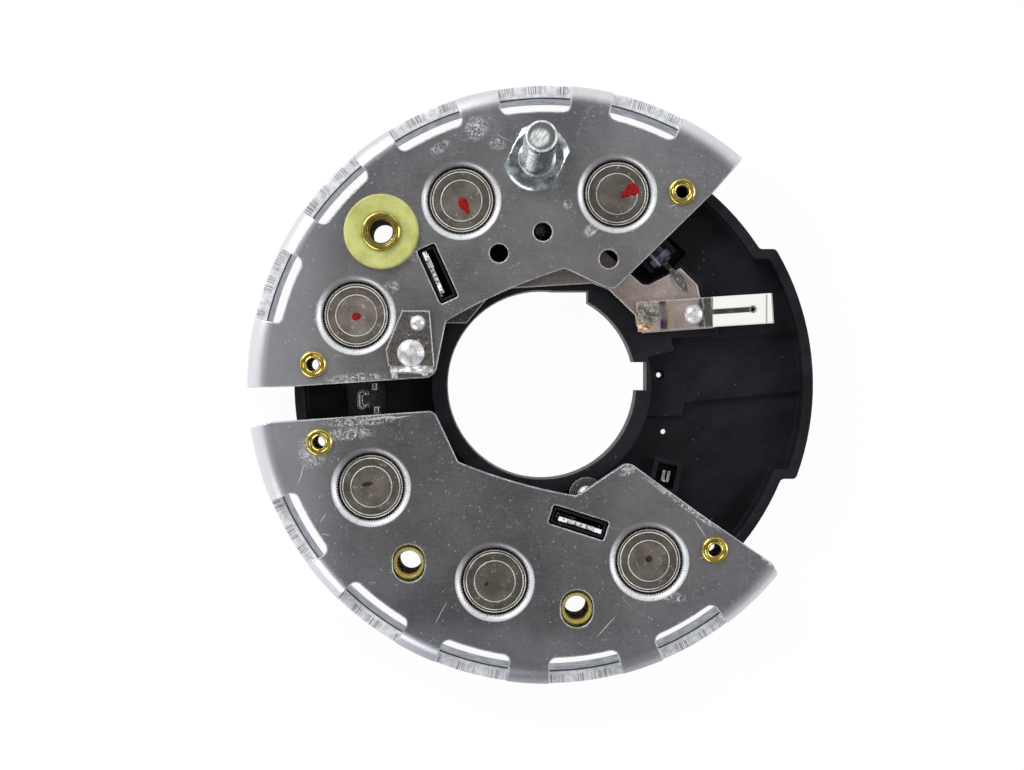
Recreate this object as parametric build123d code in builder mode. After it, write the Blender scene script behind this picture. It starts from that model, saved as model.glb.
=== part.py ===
from build123d import *

import os
from math import atan2, cos, degrees, hypot, radians, sin, sqrt

# Rectifier of a vehicle alternator: two pressed aluminium heat sinks stand on a moulded plate,
# with six press-fit diodes, their phase strips below and the small exciter diodes between.
# The origin is on the alternator shaft's axis, level with the lower edges of the heat sinks.
# +Z points out of the alternator, along the battery stud, and +X to the open tray.

# Ring and heat sinks
ring_shift = 1.0          # the ring's centre lies this far to the right of the shaft axis
ring_radius = 57.8        # outside of the bent flange
plate_top = 14.0          # top of the flat plate over the flange's lower edge
sheet = 2.5               # thickness of the aluminium
bend_inside = 1.5         # inner radius of the flange's bend
plunge_depth = 4.0        # collar drawn down round each diode
plunge_wall = 1.6
plunge_entry = 1.25       # rounding where the sheet dips into a collar
window_width = 14.4       # opening in the bend, along the outside of the flange
window_reach = 5.5        # from the outside of the flange in to the opening's inner edge
window_sill = 9.2         # height of the cut edge left standing in the flange
window_corner = 1.4
window_pitch = 22.5
window_count = 5

# Diodes
diode_circle = 39.0
diode_radius = 6.4
diode_height = 8.0
diode_sink = 1.0          # the face lies this far under the plate's top
cup_wall = 0.9
cup_floor = 3.0
press_clearance = 0.02
lead_radius = 0.65
lead_head_radius = 2.0
lead_head = 0.6
lead_tip = 1.2            # height of the lead's lower end
seal_dome = 0.5

# Fixings
fixing_circle = 43.2
fixing_bore = 2.2
bush_wall = 0.7
bush_flange_radius = 3.7
bush_flange = 0.8
bush_flare = 0.45
bush_slot_width = 6.1     # oblong hole in the heat sink
bush_slot_length = 7.2
washer_radius = 7.15
washer = 1.2
washer_sleeve = 1.4       # wall of the washer's sleeve
rim_radius = 3.9          # rolled rim of the insulated bush
rim_height = 0.8
eyelet_circle = 45.0
eyelet_bore = 1.15
eyelet_wall = 0.4
eyelet_rim_radius = 2.5
eyelet_rim = 0.8

# Battery stud
stud_radius = 3.0
stud_length = 39.0        # above the plate
stud_flange_radius = 6.4
stud_flange = 2.6
stud_flats = 10.0
stud_flats_angle = 64.0
stud_shoulder_radius = 3.5
stud_shoulder = 1.6
stud_chamfer = 1.15
stake_radius = 3.45
stake = 1.2

# Moulded plate
shaft_hole_radius = 18.35
plate_gap = 6.65          # between the plate's rim and the inside of the flange
lobe_step = 2.65          # the tray reaches out further on the right, between two level lines
lobe_low = -18.15
lobe_high = 26.2
lobe_corner = 1.0
floor_bottom = 3.0
floor = 2.0
wall = 1.9
wall_gap = 0.3            # between the wall's top and the heat sinks
collar_wall = 2.9
deck_top = 9.2            # ledge that carries the exciter strip
deck_reach = 25.6
well_clearance = 0.4
well_wall = 1.3
well_wall_top = 7.4
boss_wall = 1.7
terrace = 2.0             # raised part of the tray beside the strip's ledge
platform = 1.0            # bare panel of the tray
core_pin_radius = 0.5     # small holes through the tray
gap_window = 12.0         # opening that shows the left phase strip
gap_window_lap = 0.3      # the plate laps over the strip's edges
rib = 1.2
rib_depth = 1.4
rib_start = 31.5
rib_end = 46.5
slot_clearance = 0.3      # terminal tower in its slot in the sheet

# Strips and terminals
strip = 0.8
arm_width = 3.2
narrow_arm_width = 2.4
band_gap = 0.35           # between the collar and the strips beside it
outer_band = 27.0         # inner radius of the strip on the right
band_width = 2.6
left_strip_width = 8.4
blade_length = 8.6
blade_top = 13.9
blade_notch = [5.2, 1.1]  # recess between the blade's two prongs
slot_length = 11.2
slot_width = 3.75
tower_rim = 0.45
tower_foot = 0.9          # how far a tower's foot stands out round its sleeve
tower_drop = 0.4          # a tower ends this far under the sheet's top
hook = [1.7, 3.7]         # clip of bent sheet on the left strip
hook_sheet = 0.5
ear_size = [0.9, 1.3]
fork_tine = 0.5
fork_gap = 0.45
fork_length = 2.1
fork_top = 7.2
fork_turn = -12.0
fork_wall = 0.9           # low wall round the fork
contact_sheet = 0.6
contact_width = 5.8
contact_angle = 3.7
contact_rise = 1.8        # step up from the rivet to the free end
contact_flat = 13.0
contact_ramp = 1.5
contact_end = 25.6
contact_slot = [14.9, 22.2]
contact_slot_width = 0.8
contact_slot_end = 0.7     # radius of the round end of the slot

# Exciter diodes
exciter_radius = 2.15
exciter_length = 6.0
exciter_height = 8.6      # middle of the body
wire_radius = 0.5
pressed_width = 2.1       # the wire's welded end is pressed flat
pressed = 0.4
wire_lift = 0.05          # round wire over the strip, the pressed end lies on it
wire_stub = 0.9           # level run of the wire before it turns down
wire_channel = 0.15       # room for the wire in the plate
cradle_wall = 1.2

# Rivets
rivet_dome = 0.9
contact_head = 1.9
contact_shank = 1.0
retainer_head = 1.8
retainer_shank = 1.1
retainer_radius = 3.4
bracket_reach = 8.2
bracket_lip = 0.7
bracket_tab = [1.1, 1.2]

window_inner_radius = ring_radius - window_reach
plate_radius = ring_radius - sheet - plate_gap
lobe_radius = plate_radius + lobe_step
inner_band = ring_shift + shaft_hole_radius + collar_wall + band_gap
plate_under = plate_top - sheet
bend_outside = bend_inside + sheet
floor_top = floor_bottom + floor
wall_top = plate_under - wall_gap
strip_bottom = floor_bottom - strip
window_angle = degrees(window_width / ring_radius)
trim_radius = ring_radius + 5.0
face_height = plate_top - diode_sink
cup_bottom = face_height - diode_height
hole_radius = diode_radius + press_clearance
well_radius = hole_radius + plunge_wall + well_clearance
bush_radius = fixing_bore + bush_wall
sleeve_radius = bush_radius + press_clearance + washer_sleeve
eyelet_radius = eyelet_bore + eyelet_wall
band_radius = inner_band + band_width / 2
fork_width = 2 * fork_tine + fork_gap
fork_well = [3.8, 4.6]
fork_block = [side + 2 * fork_wall for side in fork_well]

upper_diodes = [70.0, 115.0, 160.0]
lower_diodes = [210.0, 255.0, 300.0]
upper_windows = 115.0     # middle window of each heat sink
lower_windows = 255.0
stud_angle = 92.75
insulated_fixing = 137.3
plain_fixings = [232.1, 277.5]
upper_eyelets = [55.1, 175.0]
lower_eyelets = [194.1, 315.4]
upper_terminal = (-21.05, 21.3)
upper_terminal_angle = 114.2
upper_blade_shift = (0.5, 0.65)     # along the slot and across it
lower_terminal = (5.95, -26.35)
lower_terminal_angle = -17.8
lower_blade_shift = (0.4, -0.4)
small_hole_radius = 1.775
small_holes = [(-9.3, 25.2), (-0.9, 29.3), (11.7, 24.1)]
core_pin_places = [(22.0, 1.9), (22.9, -9.2)]
retainer_place = (7.7, -21.3)
contact_rivet_place = (28.4, 13.6)
contact_start = (17.4, 13.1)
hook_place = (-35.8, -2.9)
ear_places = [(-33.3, -0.3), (-32.9, -4.9)]
fork_place = (23.2, -17.8)
gap_window_place = (-35.2, -3.1)
gap_window_angle = -85.1

os.makedirs("parts", exist_ok=True)


def ring(height):
    """Level plane at a height, centred on the ring of diodes."""
    return Plane(origin=(ring_shift, 0, height))


def polar(radius, angle):
    """Point on a ring plane."""
    return (radius * cos(radians(angle)), radius * sin(radians(angle)))


def upright(place):
    """Vertical plane through a ring place: local x is the radius, local y the height."""
    return Plane(origin=(ring_shift + place[0], place[1], 0), x_dir=(1, 0, 0), z_dir=(0, -1, 0))


def turn_axis(place):
    return Axis((ring_shift + place[0], place[1], 0), (0, 0, 1))


def turned(place, profile, bead=None):
    """Solid of revolution about a vertical axis, from its half section. A bead is an arc that rounds
    the section off, from its first point through its second to its third."""
    with BuildPart() as piece:
        with BuildSketch(upright(place)):
            with BuildLine():
                if bead:
                    ThreePointArc(*bead)
                    Polyline(bead[-1], *profile, bead[0])
                else:
                    Polyline(*profile, close=True)
            make_face()
        revolve(axis=turn_axis(place))
    return piece


def circles_at(piece, height, radius):
    """Round edges of a piece that lie at one height and have one radius."""
    edges = piece.edges().filter_by(GeomType.CIRCLE)
    return edges.filter_by(lambda e: abs(e.center().Z - height) < 0.01 and abs(e.radius - radius) < 0.01)


def keep(piece, name):
    piece.part.label = name
    export_step(piece.part, f"parts/{name}.step")


def round_corner(sketch, corner, radius):
    fillet(sketch.vertices().sort_by_distance((corner[0], corner[1], 0))[0], radius)


def sector(inner, outer, start, end):
    """Flat band between two radii and two angles, added to the current sketch."""
    with BuildSketch(mode=Mode.PRIVATE) as band:
        with BuildLine():
            CenterArc((0, 0), outer, start, end - start)
            Line(polar(outer, end), polar(inner, end))
            CenterArc((0, 0), inner, start, end - start)
            Line(polar(inner, start), polar(outer, start))
        make_face()
    add(band.sketch)


def arm(start, end, width):
    """Flat bar with round ends from one place to another on the current sketch."""
    middle = ((start[0] + end[0]) / 2, (start[1] + end[1]) / 2)
    length = hypot(end[0] - start[0], end[1] - start[1])
    with Locations(middle):
        angle = degrees(atan2(end[1] - start[1], end[0] - start[0]))
        SlotCenterToCenter(length, width, rotation=angle)


# Heat sinks

def heat_sink(draw_outline, diodes, windows):
    """Disc with a bent flange, cut to its plan, with windows in the bend and diode collars."""
    with BuildPart() as sink:
        with BuildSketch(upright((0, 0))):
            with BuildLine():
                flat_end = ring_radius - bend_outside
                Polyline((0, plate_under), (0, plate_top), (flat_end, plate_top))
                CenterArc((flat_end, plate_top - bend_outside), bend_outside, 0, 90)
                Polyline(
                    (ring_radius, plate_top - bend_outside),
                    (ring_radius, 0),
                    (ring_radius - sheet, 0),
                    (ring_radius - sheet, plate_top - bend_outside),
                )
                CenterArc((flat_end, plate_top - bend_outside), bend_inside, 0, 90)
                Line((flat_end, plate_under), (0, plate_under))
            make_face()
        revolve(axis=turn_axis((0, 0)))
        with BuildSketch(ring(0)):
            draw_outline()
        extrude(amount=plate_top, mode=Mode.INTERSECT)
        with BuildSketch(ring(plate_under)):
            for angle in diodes:
                with Locations(polar(diode_circle, angle)):
                    Circle(hole_radius + plunge_wall)
        extrude(amount=-plunge_depth)
        with BuildSketch(ring(plate_top)):
            for angle in diodes:
                with Locations(polar(diode_circle, angle)):
                    Circle(hole_radius)
        extrude(amount=-plate_top, mode=Mode.SUBTRACT)
        fillet(circles_at(sink, plate_top, hole_radius), plunge_entry)
        with BuildSketch(ring(window_sill)) as openings:
            for step in range(window_count):
                middle = windows + (step - (window_count - 1) / 2) * window_pitch
                sector(window_inner_radius, trim_radius, middle - window_angle / 2, middle + window_angle / 2)
            inner = openings.vertices().group_by(lambda v: round(hypot(v.X, v.Y), 1))[0]
            fillet(inner, window_corner)
        extrude(amount=plate_top, mode=Mode.SUBTRACT)
    return sink


def cut_holes(radius, places):
    with BuildSketch(ring(plate_top)) as holes:
        with Locations(*places):
            Circle(radius)
    extrude(holes.sketch, amount=-sheet, mode=Mode.SUBTRACT)


def cut_terminal_slot(place, angle):
    with BuildSketch(ring(plate_top)) as slot:
        with Locations(place):
            RectangleRounded(slot_length, slot_width, 0.5, rotation=angle)
    extrude(slot.sketch, amount=-sheet, mode=Mode.SUBTRACT)


def upper_outline():
    with BuildSketch(mode=Mode.PRIVATE) as plan:
        with BuildLine():
            Polyline(
                polar(trim_radius, 180.6),
                (-48.7, -0.3),
                (-21.6, 1.5),
                (-19.4, 12.2),
            )
            ThreePointArc((-19.4, 12.2), (-8.9, 17.7), (3.3, 22.3))
            Polyline((3.3, 22.3), (12.5, 18.0), (31.6, 36.7), polar(trim_radius, 49.2))
            CenterArc((0, 0), trim_radius, 49.2, 180.6 - 49.2)
        make_face()
        round_corner(plan, (-21.6, 1.5), 2.3)
        round_corner(plan, (-19.4, 12.2), 0.6)
        round_corner(plan, (3.3, 22.3), 1.0)
        round_corner(plan, (12.5, 18.0), 2.2)
    add(plan.sketch)


def lower_outline():
    with BuildSketch(mode=Mode.PRIVATE) as plan:
        with BuildLine():
            Polyline(polar(trim_radius, 188.9), (-53.0, -7.1), (-21.7, -4.9), (-17.1, -14.7))
            ThreePointArc((-17.1, -14.7), (-5.4, -18.8), (5.6, -21.2))
            Polyline(
                (5.6, -21.2),
                (15.4, -14.6),
                (29.2, -24.6),
                (43.3, -34.3),
                polar(trim_radius, 318.5),
            )
            CenterArc((0, 0), trim_radius, 188.9, 318.5 - 188.9)
        make_face()
        round_corner(plan, (-53.0, -7.1), 3.0)
        round_corner(plan, (-21.7, -4.9), 1.8)
        round_corner(plan, (-17.1, -14.7), 0.8)
        round_corner(plan, (5.6, -21.2), 1.2)
        round_corner(plan, (15.4, -14.6), 2.2)
        round_corner(plan, (43.3, -34.3), 3.0)
    add(plan.sketch)


stud_place = polar(fixing_circle, stud_angle)
insulated_place = polar(fixing_circle, insulated_fixing)
bracket_rivet_places = [(-26.1, 6.1), (-24.8, 11.8)]
bracket_rivet_radii = [1.3, 0.8]
bracket_rivet_heads = [2.6, 1.5]
bracket_tab_places = [(-29.2, 1.9), (-23.4, 2.4)]

with BuildPart() as positive_heat_sink:
    add(heat_sink(upper_outline, upper_diodes, upper_windows).part)
    cut_holes(sleeve_radius + press_clearance, [insulated_place])
    cut_holes(stud_radius + press_clearance, [stud_place])
    cut_holes(eyelet_radius + press_clearance, [polar(eyelet_circle, a) for a in upper_eyelets])
    cut_holes(small_hole_radius, small_holes)
    for rivet_place, rivet_radius in zip(bracket_rivet_places, bracket_rivet_radii):
        cut_holes(rivet_radius + press_clearance, [rivet_place])
    cut_terminal_slot(upper_terminal, upper_terminal_angle)
keep(positive_heat_sink, "positive_heat_sink")

with BuildPart() as negative_heat_sink:
    add(heat_sink(lower_outline, lower_diodes, lower_windows).part)
    cut_holes(eyelet_radius + press_clearance, [polar(eyelet_circle, a) for a in lower_eyelets])
    cut_terminal_slot(lower_terminal, lower_terminal_angle)
    with BuildSketch(ring(plate_top)):
        for angle in plain_fixings:
            with Locations(polar(fixing_circle, angle)):
                SlotOverall(bush_slot_length, bush_slot_width, rotation=90)
    extrude(amount=-sheet, mode=Mode.SUBTRACT)
keep(negative_heat_sink, "negative_heat_sink")

# Press-fit diodes, each a cup with its resin seal and its lead

def diode_cup(place):
    """Cup pressed in face up: shallow rings on the face, open below."""
    centre_disc = 0.62 * diode_radius
    ring_edge = 0.84 * diode_radius
    step = 0.22
    cavity = diode_radius - cup_wall
    return turned(place, [
        (0, face_height - cup_floor),
        (0, face_height - step),
        (centre_disc - step, face_height - step),
        (centre_disc, face_height),
        (ring_edge - step, face_height),
        (ring_edge, face_height - step),
        (diode_radius - step, face_height - step),
        (diode_radius, face_height - 2 * step),
        (diode_radius, cup_bottom + step),
        (diode_radius - step, cup_bottom),
        (cavity, cup_bottom),
        (cavity, face_height - cup_floor),
    ])


def diode_seal(place):
    """Resin that fills the cup round the lead, slightly domed at its open side."""
    cavity = diode_radius - cup_wall
    ceiling = face_height - cup_floor
    bore = lead_radius
    return turned(place, [
        (bore, cup_bottom + 0.2 - seal_dome),
        (bore, ceiling - lead_head),
        (lead_head_radius, ceiling - lead_head),
        (lead_head_radius, ceiling),
        (cavity, ceiling),
        (cavity, cup_bottom + 0.6),
        (cavity * 0.6, cup_bottom + 0.1),
    ])


def diode_lead(place):
    """Nail-headed lead from the chip down to the phase strip."""
    ceiling = face_height - cup_floor
    return turned(place, [
        (0, lead_tip),
        (0, ceiling),
        (lead_head_radius, ceiling),
        (lead_head_radius, ceiling - lead_head),
        (lead_radius, ceiling - lead_head),
        (lead_radius, lead_tip + 0.2),
        (lead_radius - 0.2, lead_tip),
    ])


for side, angles in (("positive", upper_diodes), ("negative", lower_diodes)):
    for number, angle in enumerate(angles, start=1):
        seat = polar(diode_circle, angle)
        keep(diode_cup(seat), f"{side}_diode_{number}")
        keep(diode_seal(seat), f"{side}_diode_seal_{number}")
        keep(diode_lead(seat), f"{side}_diode_lead_{number}")

# Battery stud, staked under the sheet

with BuildPart() as battery_stud:
    with BuildSketch(ring(plate_top)):
        with Locations(stud_place):
            Circle(stud_flange_radius)
            Rectangle(2 * stud_flange_radius, stud_flats, rotation=stud_flats_angle, mode=Mode.INTERSECT)
    extrude(amount=stud_flange)
    with BuildSketch(upright(stud_place)):
        with BuildLine():
            Polyline(
                (0, 0),
                (stud_flange_radius + 1, 0),
                (stud_flange_radius + 1, plate_top + stud_flange - 1.1),
                (stud_flats / 2, plate_top + stud_flange),
                (0, plate_top + stud_flange),
                close=True,
            )
        make_face()
    revolve(axis=turn_axis(stud_place), mode=Mode.INTERSECT)
    with BuildSketch(upright(stud_place)):
        with BuildLine():
            tip = plate_top + stud_length
            shoulder_top = plate_top + stud_flange + stud_shoulder
            Polyline(
                (0, plate_under - stake),
                (0, tip),
                (stud_radius - stud_chamfer, tip),
                (stud_radius, tip - stud_chamfer),
                (stud_radius, shoulder_top),
                (stud_shoulder_radius, shoulder_top - 0.4),
                (stud_shoulder_radius, plate_top + stud_flange - 0.2),
                (stud_radius, plate_top + 0.2),
                (stud_radius, plate_under),
                (stake_radius, plate_under),
                (stake_radius - 0.5, plate_under - stake),
                close=True,
            )
        make_face()
    revolve(axis=turn_axis(stud_place))
keep(battery_stud, "battery_stud")

# Bushes, washer and eyelets

insulating_washer = turned(insulated_place, [
    (bush_radius + press_clearance, plate_under),
    (bush_radius + press_clearance, plate_top + washer),
    (washer_radius - 0.3, plate_top + washer),
    (washer_radius, plate_top + washer - 0.3),
    (washer_radius, plate_top),
    (sleeve_radius, plate_top),
    (sleeve_radius, plate_under),
])
keep(insulating_washer, "insulating_washer")

rim_top = plate_top + washer + rim_height
rim_foot = plate_top + washer
rim_crest = 0.6 * bush_radius + 0.4 * rim_radius
insulated_bush = turned(insulated_place, [
    (bush_radius, rim_foot),
    (bush_radius, 0),
    (fixing_bore, 0),
    (fixing_bore, rim_foot),
    (fixing_bore + 0.35, rim_top - 0.15),
], bead=[(rim_crest - 0.25, rim_top), (rim_radius - 0.25, rim_top - 0.2), (rim_radius - 0.1, rim_foot)])
keep(insulated_bush, "insulated_bush")

for number, angle in enumerate(plain_fixings, start=1):
    lip = plate_top - 0.2
    fixing_bush = turned(polar(fixing_circle, angle), [
        (fixing_bore, 0),
        (fixing_bore, plate_under),
        (fixing_bore + bush_flare, lip),
        (bush_radius, lip),
        (bush_radius + 0.1, lip - 0.4),
        (bush_radius, plate_under),
        (bush_flange_radius, plate_under),
        (bush_flange_radius, plate_under - bush_flange),
        (bush_radius, plate_under - bush_flange),
        (bush_radius, 0),
    ])
    keep(fixing_bush, f"fixing_bush_{number}")

for number, angle in enumerate(upper_eyelets + lower_eyelets, start=1):
    top = plate_top + eyelet_rim
    foot = floor_bottom - eyelet_rim
    bore = [(0, foot + 0.3), (0, foot + 0.7)] if number == 1 else []
    eyelet = turned(polar(eyelet_circle, angle), [
        (eyelet_radius, plate_top),
        (eyelet_radius, floor_bottom),
        (eyelet_rim_radius - 0.2, floor_bottom),
        (eyelet_rim_radius, floor_bottom - 0.3),
        (eyelet_rim_radius - 0.5, foot),
        (eyelet_radius, foot),
        (eyelet_bore, foot + 0.3),
        *bore,
        (eyelet_bore, foot + 0.7),
        (eyelet_bore, top - 0.35),
        (eyelet_bore + 0.2, top - 0.1),
        (eyelet_bore + 0.4, top - 0.2),
    ], bead=[(eyelet_bore + 0.5, top - 0.2), (eyelet_rim_radius - 0.4, top), (eyelet_rim_radius, plate_top)])
    keep(eyelet, f"eyelet_{number}")

# Phase strips under the moulded plate, each joining two diodes, an exciter diode and a terminal

def drop_hole(place, radius):
    """Hole for a lead, cut in the current sketch."""
    with Locations(place):
        Circle(radius, mode=Mode.SUBTRACT)


def blade_middle(place, angle, shift):
    """Middle of a blade, which stands off the middle of its slot."""
    along = polar(shift[0], angle)
    across = polar(shift[1], angle + 90)
    return (place[0] + along[0] + across[0], place[1] + along[1] + across[1])


def blade(place, angle):
    """Upright tab of a strip, with a recess between its two prongs."""
    with BuildSketch(ring(strip_bottom)) as foot:
        with Locations(place):
            Rectangle(blade_length, strip, rotation=angle)
    extrude(foot.sketch, amount=blade_top - strip_bottom)
    with BuildSketch(ring(blade_top)) as notch:
        with Locations(place):
            Rectangle(blade_notch[0], strip, rotation=angle)
    extrude(notch.sketch, amount=-blade_notch[1], mode=Mode.SUBTRACT)


lead_hole = lead_radius + press_clearance
wire_hole = wire_radius + press_clearance
diode_places = [polar(diode_circle, a) for a in upper_diodes + lower_diodes]

# Each exciter diode lies level in its cradle: middle of its body and the way it points inwards
exciter_places = [(-26.0, 18.7), polar(31.5, stud_angle), (20.9, 25.8)]
exciter_angles = [-65.0, stud_angle - 180, -48.0]
outer_reach = exciter_length / 2 + wire_stub
outer_drops = [
    (place[0] - polar(outer_reach, angle)[0], place[1] - polar(outer_reach, angle)[1])
    for place, angle in zip(exciter_places, exciter_angles)
]
inner_ends = [
    (place[0] + polar(exciter_length / 2, angle)[0], place[1] + polar(exciter_length / 2, angle)[1])
    for place, angle in zip(exciter_places, exciter_angles)
]
landings = [
    [(-23.8, 14.3), (-22.6, 12.6)],
    [(-1.1, 26.4), (-1.0, 22.4)],
    [(24.3, 22.2), (27.2, 18.9)],
]
upper_blade = blade_middle(upper_terminal, upper_terminal_angle, upper_blade_shift)
lower_blade = blade_middle(lower_terminal, lower_terminal_angle, lower_blade_shift)
upper_blade_root = degrees(atan2(upper_blade[1], upper_blade[0]))
lower_blade_root = degrees(atan2(lower_blade[1], lower_blade[0]))

with BuildPart() as left_phase_strip:
    with BuildSketch(ring(strip_bottom)):
        arm(diode_places[2], diode_places[3], left_strip_width)
        arm(diode_places[2], outer_drops[0], arm_width)
        drop_hole(diode_places[2], lead_hole)
        drop_hole(diode_places[3], lead_hole)
        drop_hole(outer_drops[0], wire_hole)
    extrude(amount=strip)
    with BuildSketch(ring(strip_bottom)):
        with Locations(hook_place):
            RectangleRounded(*hook, 0.8)
            inner = [side - 2 * hook_sheet for side in hook]
            RectangleRounded(*inner, 0.3, mode=Mode.SUBTRACT)
            with Locations((hook[0] / 2, 0)):
                Rectangle(2 * hook_sheet, hook[1] / 2, mode=Mode.SUBTRACT)
    extrude(amount=deck_top - strip_bottom)
    with BuildSketch(ring(strip_bottom)):
        with Locations(*ear_places):
            Rectangle(*ear_size)
    extrude(amount=wall_top - 0.8 - strip_bottom)
keep(left_phase_strip, "left_phase_strip")

with BuildPart() as middle_phase_strip:
    with BuildSketch(ring(strip_bottom)):
        sector(inner_band, inner_band + band_width, stud_angle, lower_diodes[1])
        arm(polar(band_radius, stud_angle), outer_drops[1], arm_width)
        arm(polar(band_radius, upper_diodes[1]), diode_places[1], arm_width)
        arm(polar(band_radius, lower_diodes[1]), diode_places[4], arm_width)
        arm(polar(band_radius, upper_blade_root), upper_blade, arm_width)
        drop_hole(diode_places[1], lead_hole)
        drop_hole(diode_places[4], lead_hole)
        drop_hole(outer_drops[1], wire_hole)
    extrude(amount=strip)
    blade(upper_blade, upper_terminal_angle)
keep(middle_phase_strip, "middle_phase_strip")

outer_band_radius = outer_band + band_width / 2
with BuildPart() as right_phase_strip:
    with BuildSketch(ring(strip_bottom)):
        sector(outer_band, outer_band + band_width, lower_blade_root, upper_diodes[0])
        arm(polar(outer_band_radius, upper_diodes[0]), diode_places[0], arm_width)
        arm(polar(outer_band_radius, lower_diodes[2] - 360), diode_places[5], arm_width)
        drop_angle = degrees(atan2(outer_drops[2][1], outer_drops[2][0]))
        arm(polar(outer_band_radius, drop_angle), outer_drops[2], narrow_arm_width)
        drop_hole(diode_places[0], lead_hole)
        drop_hole(diode_places[5], lead_hole)
        drop_hole(outer_drops[2], wire_hole)
    extrude(amount=strip)
    blade(lower_blade, lower_terminal_angle)
    with BuildSketch(ring(strip_bottom)):
        with Locations(fork_place):
            Rectangle(fork_width, fork_length, rotation=fork_turn)
            Rectangle(fork_gap, fork_length, rotation=fork_turn, mode=Mode.SUBTRACT)
    extrude(amount=fork_top - strip_bottom)
keep(right_phase_strip, "right_phase_strip")

# Moulded plate

def plate_plan(inset):
    """Plan of the moulded plate with its wider tray on the right, drawn in by an inset."""
    inner = plate_radius - inset
    outer = lobe_radius - inset
    height = lobe_high - lobe_low - 2 * inset
    with BuildSketch(mode=Mode.PRIVATE) as plan:
        Circle(outer)
        with Locations((0, (lobe_low + lobe_high) / 2)):
            Rectangle(2 * outer, height, align=(Align.MIN, Align.CENTER), mode=Mode.INTERSECT)
        Circle(inner)
        for edge in (lobe_low + inset, lobe_high - inset):
            round_corner(plan, (sqrt(outer ** 2 - edge ** 2), edge), lobe_corner)
            round_corner(plan, (sqrt(inner ** 2 - edge ** 2), edge), lobe_corner)
    add(plan.sketch)


def tower(place, angle, blade_place):
    """Block under the sheet with a sleeve that stands in the slot round a terminal."""
    length = slot_length - 2 * slot_clearance
    width = slot_width - 2 * slot_clearance
    with BuildSketch(ring(floor_top)) as base:
        with Locations(place):
            RectangleRounded(length + 2 * tower_foot, width + 2 * tower_foot, 0.8, rotation=angle)
    extrude(base.sketch, amount=well_wall_top - floor_top)
    with BuildSketch(ring(floor_top)) as sleeve:
        with Locations(place):
            RectangleRounded(length, width, 0.4, rotation=angle)
    extrude(sleeve.sketch, amount=plate_top - tower_drop - floor_top)
    with BuildSketch(ring(plate_top)) as pocket:
        with Locations(place):
            Rectangle(length - 2 * tower_rim, width - 2 * tower_rim, rotation=angle)
    extrude(pocket.sketch, amount=-(plate_top - floor_top), mode=Mode.SUBTRACT)
    with BuildSketch(ring(plate_top)) as gap:
        with Locations(blade_place):
            Rectangle(blade_length + 0.2, strip + 0.2, rotation=angle)
    extrude(gap.sketch, amount=-plate_top, mode=Mode.SUBTRACT)


def cradle(place, angle):
    """Block that is hollowed later into a half-round seat for an exciter diode."""
    with BuildSketch(ring(floor_top)) as block:
        with Locations(place):
            Rectangle(exciter_length - 0.6, 2 * (exciter_radius + cradle_wall), rotation=angle)
    extrude(block.sketch, amount=exciter_height - floor_top)


def diode_space(place, angle, length, radius):
    """Level cylinder round the middle of an exciter diode."""
    back = polar(length / 2, angle)
    level = Plane(
        origin=(ring_shift + place[0] - back[0], place[1] - back[1], exciter_height),
        x_dir=(0, 0, 1),
        z_dir=(cos(radians(angle)), sin(radians(angle)), 0),
    )
    with BuildSketch(level) as section:
        Circle(radius)
    return section.sketch


# Lines where the tray steps down from the terrace to the bare panel and then to the floor
upper_step = [(14.0, 7.35), (49.6, 10.2)]
lower_step = [(49.6, -1.3), (26.9, -3.6), (26.4, -6.1), (14.0, -6.35)]
ledge_block = [(14.0, 8.6), (33.2, 9.4), (33.2, 17.2), (30.5, 17.2), (29.8, 20.0), (26.0, 23.4), (14.0, 23.4)]
exciter_pocket = [
    (15.8, 22.0), (18.4, 20.0), (19.6, 19.9), (23.4, 21.9), (27.2, 25.6), (22.6, 30.0), (13.0, 28.0),
]

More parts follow.
